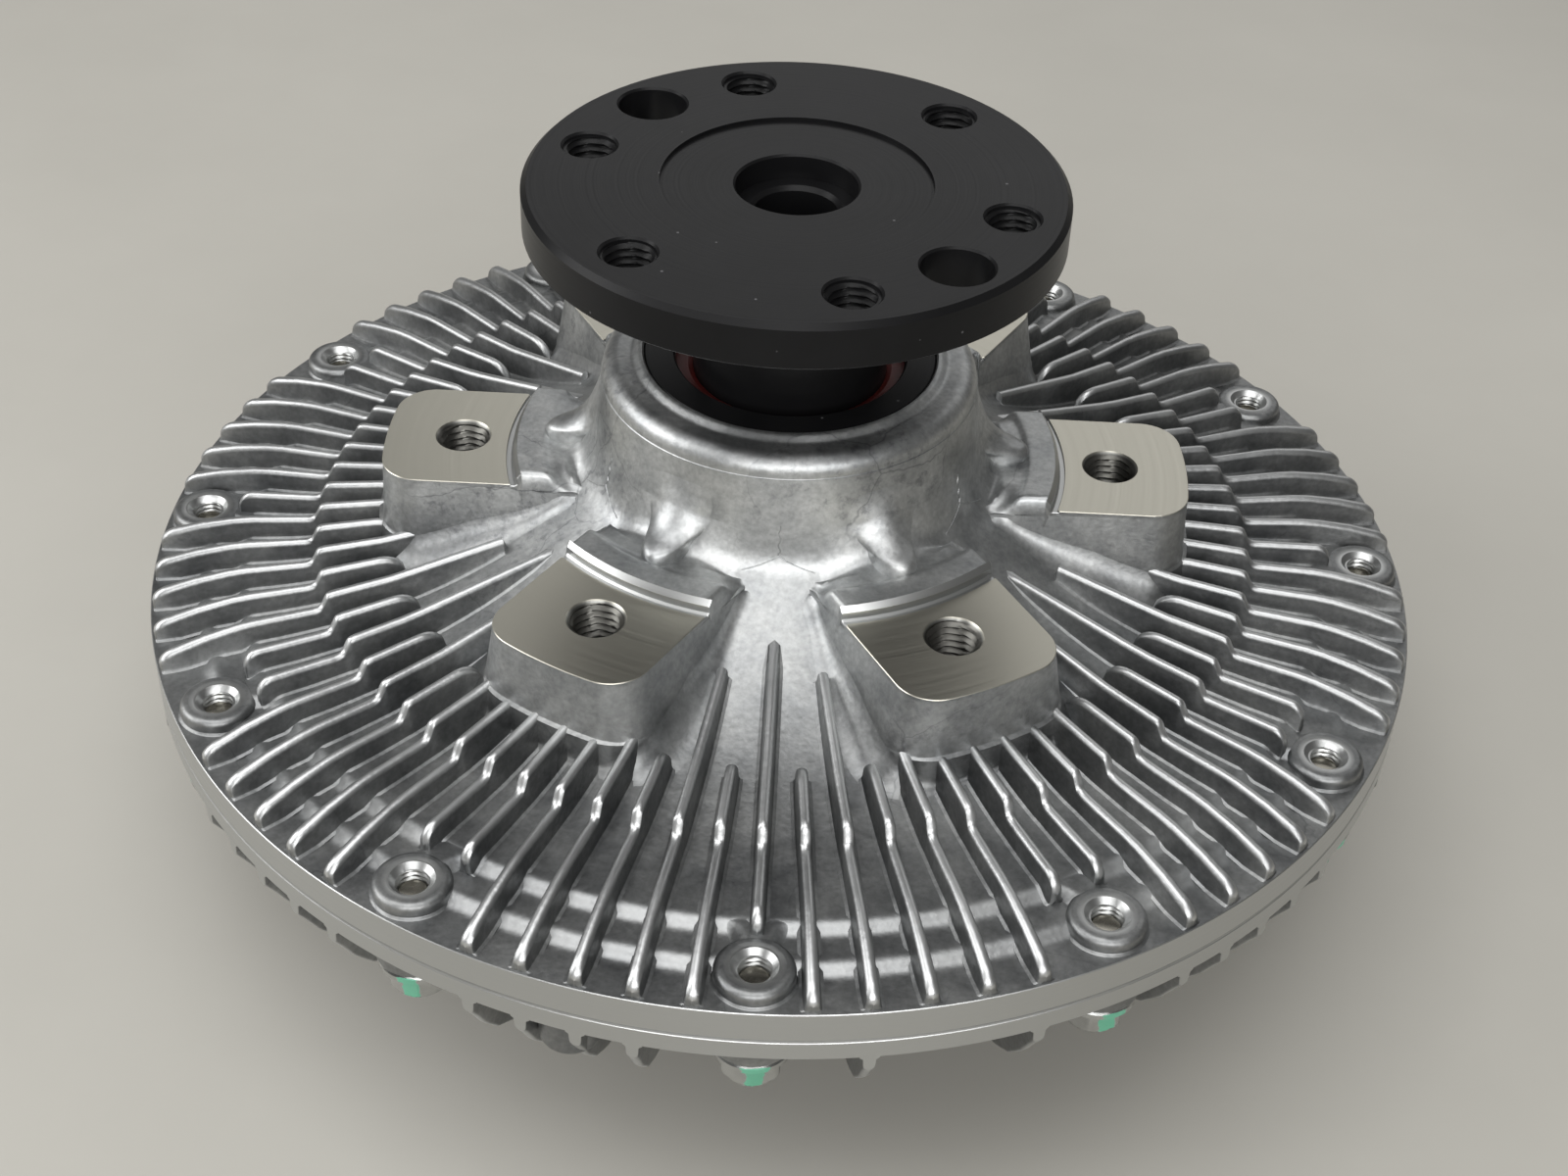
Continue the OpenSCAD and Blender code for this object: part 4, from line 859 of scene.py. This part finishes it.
web_r = np.linspace(DECK_R - 1.5, BOLT_R - 4.7, 26)[:, None]
web_y = np.linspace(-WEB_SIDE, WEB_SIDE, 35)
web_half = WEB_HALF + WEB_FLARE * soft_step((BOLT_R - 4 - web_r) / 7)
lifted = soft_step((web_half - np.abs(web_y)) / WEB_FADE)
skin_z = casting_z(np.hypot(web_r, web_y))
web_top = skin_z + np.clip(DECK_Z - 0.1 - skin_z, 0, None) * lifted - 0.05 * (1 - lifted)
web_rings = xyz(web_r, np.concatenate([web_y, web_y[::-1]]),
                np.concatenate([web_top, skin_z[:, ::-1] - 1.2], axis=1))
piece("boss_webs", spread(web_rings, bolt_angles), cast, "housing")

# %% [markdown]
# The front cover is the second casting. It hangs under the parting plane: a well in the middle for the
# bimetal coil, a belly, a shelf and a turned rim, flush with the housing's. Its underside is as cast and so
# rounded, and the rim keeps its chamfers.

# %% Cover body
COVER_Z = PARTING_Z - 4.7
WELL_R = 30
WELL_WALL = 3.5
WELL_Z = 3.0
BELLY_R = 74
BELLY_Z = 19.9
SHELF_R = BELLY_R + 5
SHELF_END_R = 102
SHELF_Z = 33.5
RIM_FOOT_R = RIM_R - 13.4
BUSH_R = 6.9
SPIGOT_R = 12
FLOOR_T = 5.0
SEAL_GROOVE_R = 74.4
POCKET_R = 66

cover_low = rounded([
    (WELL_R + WELL_WALL, WELL_Z), (WELL_R + WELL_WALL, BELLY_Z), (BELLY_R, BELLY_Z), (SHELF_R, SHELF_Z),
    (SHELF_END_R, SHELF_Z), (RIM_FOOT_R - 1.1, SHELF_Z + 3), (RIM_FOOT_R, COVER_Z), (RIM_R - 0.3, COVER_Z),
], step=1.1, blur=1.4)
cover_well = [
    (BUSH_R, BELLY_Z - FLOOR_T), (SPIGOT_R, BELLY_Z - FLOOR_T), (SPIGOT_R, BELLY_Z), (WELL_R, BELLY_Z),
    (WELL_R, WELL_Z),
]
cover_rim = [
    (RIM_R - 0.28, COVER_Z), (RIM_R, COVER_Z + 0.28), (RIM_R, PARTING_Z - 0.8),
    (RIM_R - 0.5, PARTING_Z - 0.1), (RIM_R - 1, PARTING_Z),
]
cover_inside = [
    (DECK_R, PARTING_Z), (DECK_R, SHELF_Z + 5), (SEAL_GROOVE_R, SHELF_Z + 5), (SEAL_GROOVE_R, SHELF_Z + 3.4),
    (POCKET_R, SHELF_Z + 3.4), (POCKET_R, BELLY_Z + FLOOR_T), (SPIGOT_R, BELLY_Z + FLOOR_T),
    (SPIGOT_R, BELLY_Z + 2 * FLOOR_T), (BUSH_R, BELLY_Z + 2 * FLOOR_T),
]
cover_section = np.concatenate([cover_well, cover_low, cover_rim, cover_inside])
cover_cut = np.where(cover_section[:, 0] > RIM_R - 0.29, 0.5, 0.0)
cover_body = piece("cover_body", turned(cover_section)[None], cast, "housing",
                   ring_shaped=True, tags={"cut": cover_cut[:, None]})
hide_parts("cover")

# %% [markdown]
# The cover's fins hang down, and the clutch stands on them. They are the same kind of rib, with a top below
# its base; they hang from straight lines close to the cover's rounded skin. Every second one starts at the
# well. Most run out to the rim and end flush with it; near the bolts, and along one plain stretch of the
# rim, they stop short.

# %% Cover fins
PLAIN_FROM, PLAIN_TO = 281, 290
SOCKET_REACH = 9.5
COVER_CUT_R = BOLT_R - 11
STAND_R = 62
FOOT_STEP_R = 93.6
fin_line = np.array([
    (WELL_R + WELL_WALL, BELLY_Z), (BELLY_R - 1, BELLY_Z), (SHELF_R, SHELF_Z - 0.5), (SHELF_END_R, SHELF_Z),
    (RIM_FOOT_R - 1.6, SHELF_Z + 2.7), (RIM_FOOT_R + 0.4, COVER_Z), (RIM_R, COVER_Z),
])

stops_short = (off_bolt < SOCKET_REACH) | ((fin_deg % 360 > PLAIN_FROM) & (fin_deg % 360 < PLAIN_TO))
stops_short = stops_short[:, None]
from_well = (fin % 2 == 0)[:, None]
low_start = np.where(from_well, WELL_R + 3.0, 66.0)
low_end = np.where(stops_short, COVER_CUT_R, RIM_R - 0.02)
low_step = np.broadcast_to([FOOT_STEP_R - 2.1, FOOT_STEP_R + 1.9], (FIN_COUNT, 2))
low_knots = np.concatenate([
    low_start, low_start + 3, np.where(from_well, STAND_R, BELLY_R - 2), low_step,
    low_end - 8, low_end - 1.5, low_end,
], axis=1)
low_r = stations(low_knots, (4, 8, 8, 8, 5, 8, 6))
foot_r, foot_z = rounded([
    (WELL_R + 2, WELL_Z + 0.6), (WELL_R + 4.5, WELL_Z), (43.5, 0), (STAND_R, 0), (BELLY_R, 14),
    (FOOT_STEP_R - 1, 18), (FOOT_STEP_R + 0.7, 24), (RIM_R - 19, 25.4), (RIM_R - 9, 30.5),
    (RIM_R - 4.2, 36.4), (RIM_R - 1.8, 40.6), (RIM_R, 43.4),
], step=0.4, blur=0.9).T
low_base = np.interp(low_r, *fin_line.T)
low_h = np.maximum(low_base - np.maximum(np.interp(low_r, foot_r, foot_z), 0), 0.02)
low_h = low_h * np.where(stops_short, nose(low_r, low_end, 3.0), 1)
low_h = low_h * np.where(from_well, 1, nose(low_r, low_start, 5.0))
low_half = FIN_HALF * np.where(stops_short, nose(low_r, low_end, 1.3), 1) + 0.02
low_rings = rib_rings(low_r, low_base, low_base - low_h, low_half, 0.6, np.radians(fin_deg))
low_cut = np.where(low_r > RIM_R - 0.03, 0.5, 0.0)
piece("cover_fins", trimmed(low_rings, RIM_R - 0.01), cast, "housing",
      tags={"crest": RIB_HIGHLIGHT, "cut": low_cut[..., None]})

# %% [markdown]
# Under the cover's rim each bolt head has a round seat, and beside one of the bolts hangs a plain lug. Both
# are short turned stubs with a hollow foot and a rounded end, again held inside the rim.

# %% Bolt seats and lug of the cover
SEAT_Z = COVER_Z - 3
SEAT_R = 7.4
BOLT_HOLE_R = 3.3
LUG_DEG = 255
LUG_R = 5.5
LUG_H = 8.0
LUG_EDGE = 1.5

seat = [
    (SEAT_R + 1.2, COVER_Z + 1), (SEAT_R + 1.2, COVER_Z + 0.1), (SEAT_R + 0.4, COVER_Z - 0.2),
    (SEAT_R + 0.05, COVER_Z - 0.8), (SEAT_R, SEAT_Z + 0.3), (SEAT_R - 0.3, SEAT_Z), (BOLT_HOLE_R, SEAT_Z),
    (BOLT_HOLE_R, COVER_Z + 1),
]
seat_rings = trimmed(turned(seat, around) + [BOLT_R, 0, 0], RIM_INSIDE_R)
piece("bolt_seats", spread(seat_rings, bolt_angles), cast, "housing")

lug_foot = [
    (LUG_R + 0.9, COVER_Z + 1), (LUG_R + 0.9, COVER_Z), (LUG_R + 0.2, COVER_Z - 0.6), (LUG_R, COVER_Z - 1.4),
]
lug_end = quarter(LUG_R - LUG_EDGE, COVER_Z - LUG_H + LUG_EDGE, LUG_EDGE, 6, up=-1)
lug = turned(np.concatenate([lug_foot, lug_end]), around)
lug_rings = spread(lug, [math.radians(LUG_DEG)], RIM_R - LUG_R - 1.0)
piece("cover_lug", lug_rings, cast, "housing")

# %% [markdown]
# Zinc plating gives the bolts a bright, cloudy silver. Each has a stripe of green paint down its head, as
# is used to show at a glance if a bolt has turned. The stripe is a tag on the bolt's own points, and noise
# makes its edge ragged. The bare end of the bolt, which shows in the boss, is a dull warm grey.

# %% Zinc-plated steel and green paint
zinc, tree, shader, place = new_material("zinc_plated_steel_painted_stripe")
paint = add(tree, "ShaderNodeAttribute", out="Fac", attribute_name="paint")
sawn = add(tree, "ShaderNodeAttribute", out="Fac", attribute_name="sawn")
ragged = add(tree, "ShaderNodeTexNoise", {"Scale": per_mm(1.6), "Detail": 3}, {"Vector": place})
cloud = add(tree, "ShaderNodeTexNoise", {"Scale": per_mm(3), "Detail": 4}, {"Vector": place})
reach = add(tree, "ShaderNodeMath", {1: 0.9}, {0: ragged, 2: paint}, operation="MULTIPLY_ADD")
painted = add(tree, "ShaderNodeMapRange", {"From Min": 0.84, "From Max": 0.98, "To Max": 0.8},
              {"Value": reach})
plate = add(tree, "ShaderNodeMixRGB", {"Color1": srgb("#a0a19f"), "Color2": srgb("#c9cac8")},
            {"Fac": cloud})
plate = add(tree, "ShaderNodeMixRGB", {"Color2": srgb("#b5b1a6")}, {"Fac": sawn, "Color1": plate})
colour = add(tree, "ShaderNodeMixRGB", {"Color2": srgb("#35a07c")}, {"Fac": painted, "Color1": plate})
bare = add(tree, "ShaderNodeMath", {0: 1.0}, {1: painted}, operation="SUBTRACT")
gloss = add(tree, "ShaderNodeMapRange", {"To Min": 0.12, "To Max": 0.30}, {"Value": cloud})
bump = add(tree, "ShaderNodeBump", {"Strength": 0.4, "Distance": 0.05 * MM}, {"Height": cloud})
for socket, source in {"Base Color": colour, "Metallic": bare, "Roughness": gloss, "Normal": bump}.items():
    tree.links.new(source, shader.inputs[socket])
print("material:", zinc.name)

# %% [markdown]
# Twelve hexagon bolts with a round flange hold the halves together from below. A row of a bolt is a circle,
# a hexagon or a mixture of both, so the chamfered corners of the head come from taking the smaller of the
# two. No two bolts stop at the same angle, so each has its own turn, and so has its stripe.

# %% Cover bolts
BOLT_AF = 10.0
HEAD_R = BOLT_AF / 2
CORNER_R = 5.7
WASHER_R = 7.2
SHANK_R = 2.96
STRIPE = 0.46
HEAD_Z = SEAT_Z - 7.6
BOLT_TOP_Z = SEAT_Z + 13.8

hexagon = HEAD_R / np.cos((around + math.pi / 6) % (math.pi / 3) - math.pi / 6)
hexagon = np.minimum(hexagon, HEAD_R * 1.125)
# Height, largest radius and share of the hexagon: dish, head, washer face, shank and bare end
bolt_profile = np.array([
    (HEAD_Z + 0.5, 0.6, 0), (HEAD_Z + 0.45, HEAD_R - 2.0, 0), (HEAD_Z + 0.05, HEAD_R - 1.5, 0),
    (HEAD_Z, HEAD_R - 0.5, 0), (HEAD_Z + 0.25, HEAD_R, 1), (HEAD_Z + 0.6, CORNER_R - 0.35, 1),
    (HEAD_Z + 1.0, CORNER_R, 1), (HEAD_Z + 4.8, CORNER_R, 1), (HEAD_Z + 5.1, CORNER_R + 0.02, 0.6),
    (HEAD_Z + 5.3, WASHER_R - 1.2, 0), (HEAD_Z + 5.7, WASHER_R - 0.3, 0), (HEAD_Z + 5.9, WASHER_R - 0.05, 0),
    (HEAD_Z + 6.9, WASHER_R, 0), (HEAD_Z + 7.3, WASHER_R - 0.25, 0), (SEAT_Z - 0.02, WASHER_R - 0.6, 0),
    (SEAT_Z - 0.02, SHANK_R, 0), (BOLT_TOP_Z - 0.8, SHANK_R, 0), (BOLT_TOP_Z - 0.3, SHANK_R - 0.31, 0),
    (BOLT_TOP_Z, SHANK_R - 0.56, 0), (BOLT_TOP_Z - 0.15, 1.2, 0),
])
bolt_z, bolt_cap, bolt_hex = bolt_profile.T[:, :, None]
bolt_r = bolt_hex * np.minimum(hexagon, bolt_cap) + (1 - bolt_hex) * bolt_cap
bolt_turn = np.radians((np.arange(BOLT_COUNT) * 23) % 60)
stripe_turn = np.radians((np.arange(BOLT_COUNT) * 37) % 50 - 25)
bolt_stacks = spread(xyz(bolt_r * np.cos(around), bolt_r * np.sin(around), bolt_z), bolt_turn)
off_stripe = np.arctan2(bolt_stacks[..., 1], bolt_stacks[..., 0]) - stripe_turn[:, None, None]
off_stripe = np.abs((off_stripe + math.pi) % (2 * math.pi) - math.pi)
paint_tag = np.clip(1.1 - off_stripe / STRIPE, 0, 1) * (bolt_z < SEAT_Z - 0.5)
sawn_tag = np.where(bolt_z > PARTING_Z, 1.0, 0.0)
bolt_rings = np.concatenate([spread(stack, [a], BOLT_R) for stack, a in zip(bolt_stacks, bolt_angles)])
bolts = piece("flange_head_bolts", bolt_rings, zinc, "housing",
              tags={"paint": paint_tag, "sawn": sawn_tag}, sharp=math.radians(18))
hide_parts("cover_bolts")

# %% [markdown]
# The drive flange, its neck and the dust ring were turned and then blackened with hot black oxide. The coat
# is thin, so the fine turning rings still show as a faint sheen, and where an edge was knocked the bright
# steel comes through in small nicks. The oil in the coat takes away most of the mirror shine.

# %% Black oxide steel
black, tree, shader, place = new_material("turned_steel_black_oxide")
shader.inputs["Specular IOR Level"].default_value = 0.15
# Turning rings at a usual feed of 0.1 mm would be too fine to show, so they are drawn coarser
tooling = turning_lines(tree, place, 0.45)
cloud = add(tree, "ShaderNodeTexNoise", {"Scale": per_mm(16), "Detail": 4, "Roughness": 0.6},
            {"Vector": place})
speck = add(tree, "ShaderNodeTexVoronoi", {"Scale": per_mm(7)}, {"Vector": place})
nick = add(tree, "ShaderNodeMapRange", {"From Min": 0.045, "From Max": 0.03}, {"Value": speck})
coat = add(tree, "ShaderNodeMixRGB", {"Color1": srgb("#0a0a0b"), "Color2": srgb("#151516")},
           {"Fac": cloud})
colour = add(tree, "ShaderNodeMixRGB", {"Color2": srgb("#4c4c4e")}, {"Fac": nick, "Color1": coat})
gloss = add(tree, "ShaderNodeMapRange", {"To Min": 0.24, "To Max": 0.42}, {"Value": tooling})
bump = add(tree, "ShaderNodeBump", {"Strength": 0.6, "Distance": 0.012 * MM}, {"Height": tooling})
for socket, source in {"Base Color": colour, "Roughness": gloss, "Normal": bump}.items():
    tree.links.new(source, shader.inputs[socket])
print("material:", black.name)

# %% [markdown]
# The flange's solid has plain holes at the thread's nominal size. A thin sleeve in each of them carries the
# ridges: its outside is a cylinder just inside the hole and its inside the same helix as in the pads. It
# rides on the shaft, so it turns with the flange.

# %% Threads of the flange
FLANGE_T = 8.7
FLANGE_DEG = 45.5
SLEEVE_R = THREAD_R - 0.005
SLEEVE_TOP = 0.9
SLEEVE_FOOT = FLANGE_T - 0.4

flange_angles = np.radians(FLANGE_DEG + np.arange(FLANGE_BOLTS) * 360 / FLANGE_BOLTS)
sleeve_depth = np.linspace(SLEEVE_TOP, SLEEVE_FOOT, 46)[:, None]
sleeve_r = thread_r(around, sleeve_depth, THREAD_R - 0.02, THREAD_PITCH, THREAD_DEEP)
sleeve_rings = np.concatenate([
    xyz(sleeve_r * np.cos(around), sleeve_r * np.sin(around), FLANGE_Z - sleeve_depth),
    turned([(SLEEVE_R, FLANGE_Z - SLEEVE_FOOT), (SLEEVE_R, FLANGE_Z - SLEEVE_TOP)], around),
])
piece("flange_threads", spread(sleeve_rings, flange_angles, FLANGE_BOLT_R), black, "shaft",
      ring_shaped=True)

# %% [markdown]
# The other pieces keep their CAD shape and only need a finish. Most are metals that differ in colour, gloss
# and in the marks of their making, so one loop builds a material for each from a few numbers. Rubber is no
# metal: it is dark, dull and faintly pitted.

# %% Finishes of the CAD pieces
FINISHES = {  # material: dark tone, light tone, metallic, roughness, size of the marks in mm, depth in mm
    # Marks of grinding, turning and rolling are usually finer and would not show, so they are drawn coarser
    # ground: an even, cool gloss
    "ground_bearing_steel": ("#a9abad", "#cbcdcf", 1.0, 0.20, 0.6, 0.004),
    # phosphated: a dull dark grey with a fine crystal grain
    "phosphated_spring_steel": ("#2d2e30", "#45464a", 1.0, 0.50, 0.8, 0.010),
    # rolled and left bright: soft broad reflections
    "bright_sheet_steel": ("#8f9295", "#b2b5b8", 1.0, 0.32, 2.5, 0.008),
    # turned: a warm shine with fine marks
    "turned_bronze": ("#9c7337", "#c39a55", 1.0, 0.30, 0.7, 0.006),
    # rolled strip: brass yellow, dimmed by heat
    "rolled_bimetal": ("#8a7044", "#b3965f", 1.0, 0.34, 1.8, 0.006),
    # turned: bright silver with fine marks
    "turned_aluminium": ("#a8aaac", "#c9cbcc", 1.0, 0.28, 0.7, 0.006),
    # moulded: black and matt
    "moulded_black_rubber": ("#121212", "#1d1d1d", 0.0, 0.62, 0.5, 0.020),
    # moulded: deep red with a slight sheen
    "moulded_red_silicone": ("#3c0c0a", "#5e1612", 0.0, 0.46, 0.6, 0.015),
}
WEARS = {
    "ground_bearing_steel": ("bearing_outer_ring", "bearing_inner_ring", "bearing_balls"),
    "phosphated_spring_steel": ("bearing_circlip", "rotor_ring"),
    "bright_sheet_steel": ("partition_plate", "coil_bracket", "valve_shaft", "valve_arm"),
    "turned_bronze": ("valve_bush", "bearing_cage"),
    "rolled_bimetal": ("bimetal_coil",),
    "turned_aluminium": ("rotor",),
    "moulded_black_rubber": ("cover_seal", "bearing_shields", "valve_o_ring"),
    "moulded_red_silicone": ("lip_seal",),
}
wears = {
    "drive_shaft": black, "dust_ring": black, "plate_screws": zinc, "bracket_screws": zinc,
    "cover_bolts": zinc, "housing": cast, "cover": cast,
}
for name, (dark, light, metallic, dull, size, deep) in FINISHES.items():
    finish, tree, shader, place = new_material(name, metallic=metallic)
    marks = add(tree, "ShaderNodeTexNoise", {"Scale": per_mm(size), "Detail": 3}, {"Vector": place})
    cloud = add(tree, "ShaderNodeTexNoise", {"Scale": per_mm(9), "Detail": 4}, {"Vector": place})
    colour = add(tree, "ShaderNodeMixRGB", {"Color1": srgb(dark), "Color2": srgb(light)}, {"Fac": cloud})
    gloss = add(tree, "ShaderNodeMapRange", {"To Min": dull * 0.8, "To Max": dull * 1.25}, {"Value": marks})
    bump = add(tree, "ShaderNodeBump", {"Strength": 1.0, "Distance": deep * MM}, {"Height": marks})
    tree.links.new(colour, shader.inputs["Base Color"])
    tree.links.new(gloss, shader.inputs["Roughness"])
    tree.links.new(bump, shader.inputs["Normal"])
    wears.update({node: finish for node in WEARS[name]})
for node, finish in wears.items():
    slots = frame["nodes"][node].data.materials
    slots.clear()
    slots.append(finish)
print("CAD nodes with a finish:", len(wears))

# %% [markdown]
# The clutch stands on a plain pale floor of honed stone, which is matt with a faint cloudiness. Far off,
# where little of the light reaches, its colour gets painted light and turns paler, so that it meets the pale
# room softly in low views.

# %% Floor
FLOOR = 6.0
NEAR, FAR = 1.0, 2.6
floor_stone, tree, shader, place = new_material("honed_pale_stone", roughness=0.55)
veil = add(tree, "ShaderNodeTexNoise", {"Scale": per_mm(120), "Detail": 6, "Roughness": 0.6},
           {"Vector": place})
stone = add(tree, "ShaderNodeMixRGB", {"Color1": srgb("#97958f"), "Color2": srgb("#a3a19b")},
            {"Fac": veil})
away = add(tree, "ShaderNodeVectorMath", {}, {0: place}, out="Value", operation="LENGTH")
# Painted light: the floor's colour is lightened with distance, where the lamps' light falls off
far_floor_light = add(tree, "ShaderNodeMapRange", {"From Min": NEAR, "From Max": FAR}, {"Value": away})
colour = add(tree, "ShaderNodeMixRGB", {"Color2": srgb("#ebe9e4")}, {"Fac": far_floor_light, "Color1": stone})
tree.links.new(colour, shader.inputs["Base Color"])

floor_mesh = bpy.data.meshes.new("floor")
floor_corners = [(-FLOOR, -FLOOR, 0), (FLOOR, -FLOOR, 0), (FLOOR, FLOOR, 0), (-FLOOR, FLOOR, 0)]
floor_mesh.from_pydata(floor_corners, [], [(0, 1, 2, 3)])
floor_mesh.materials.append(floor_stone)
floor = bpy.data.objects.new("floor", floor_mesh)
bpy.context.scene.collection.objects.link(floor)
print("floor:", 2 * FLOOR, "m square")

# %% [markdown]
# The light is soft, as in a small studio tent: a wide panel overhead, one from the left, one from the front
# and one from the back. Metal shows only what it mirrors, so the room is pale to the eye and to the floor
# but dim in reflections: that gives the metal something bright and something dark to mirror.

# %% Light
PANELS = {  # place in metres, width, height, watts
    "overhead": ((-0.15, -0.28, 1.30), 1.2, 0.9, 11.0),
    "left_window": ((-1.20, -0.10, 0.70), 0.9, 0.8, 10.5),
    "front_fill": ((0.10, -1.40, 0.80), 1.6, 0.7, 18.0),
    "back_window": ((0.45, 1.55, 1.10), 2.0, 0.8, 4.5),
}
LIT_POINT = Vector((0, 0, 0.06))
for name, (spot, wide, tall, watts) in PANELS.items():
    lamp = bpy.data.lights.new(name, "AREA")
    lamp.shape = "RECTANGLE"
    lamp.size, lamp.size_y, lamp.energy = wide, tall, watts
    holder = bpy.data.objects.new(name, lamp)
    holder.location = spot
    holder.rotation_euler = (LIT_POINT - Vector(spot)).to_track_quat("-Z", "Y").to_euler()
    bpy.context.scene.collection.objects.link(holder)

world = bpy.data.worlds.new("room")
world.use_nodes = True
tree = world.node_tree
glossy = add(tree, "ShaderNodeLightPath", out="Is Glossy Ray")
room = add(tree, "ShaderNodeMixRGB", {"Color1": srgb("#bcbab5"), "Color2": srgb("#636362")}, {"Fac": glossy})
tree.links.new(room, tree.nodes["Background"].inputs["Color"])
bpy.context.scene.world = world
bpy.context.scene.view_settings.view_transform = "Standard"
print("panels:", ", ".join(PANELS))

# %% [markdown]
# The camera stands where the photo was taken from. Its height, distance and tilt were solved from the
# circles of the flange and the rim, so the render can be laid over the photo. The lens follows from the
# focal length in pixels, because the width of the image in pixels stands for the width of the sensor.

# %% Camera
IMAGE_W = 1600
FOCAL_PX = 2343.1
SENSOR = 36.0
ELEVATION, ROLL, TURN = (math.radians(v) for v in (38.11, 2.38, 0.75))
DISTANCE = 473.65
AIM = Vector((0.66, 0, DECK_Z - 13.65))

ahead = Vector((0, math.cos(ELEVATION), -math.sin(ELEVATION)))
right = Vector((1, 0, 0))
up = right.cross(ahead)
rolled_right = math.cos(ROLL) * right + math.sin(ROLL) * up
rolled_up = math.cos(ROLL) * up - math.sin(ROLL) * right
swing = Matrix.Rotation(TURN, 3, "Z")
columns = [swing @ axis for axis in (rolled_right, rolled_up, -ahead)]
columns.append(swing @ (AIM - DISTANCE * ahead) * MM)
lens = bpy.data.cameras.new("camera")
lens.sensor_width = SENSOR
lens.lens = FOCAL_PX * SENSOR / IMAGE_W
camera = bpy.data.objects.new("camera", lens)
camera.matrix_world = Matrix([[column[i] for column in columns] for i in range(3)] + [[0, 0, 0, 1]])
bpy.context.scene.collection.objects.link(camera)
bpy.context.scene.camera = camera
print("camera at", [round(v, 3) for v in camera.location])
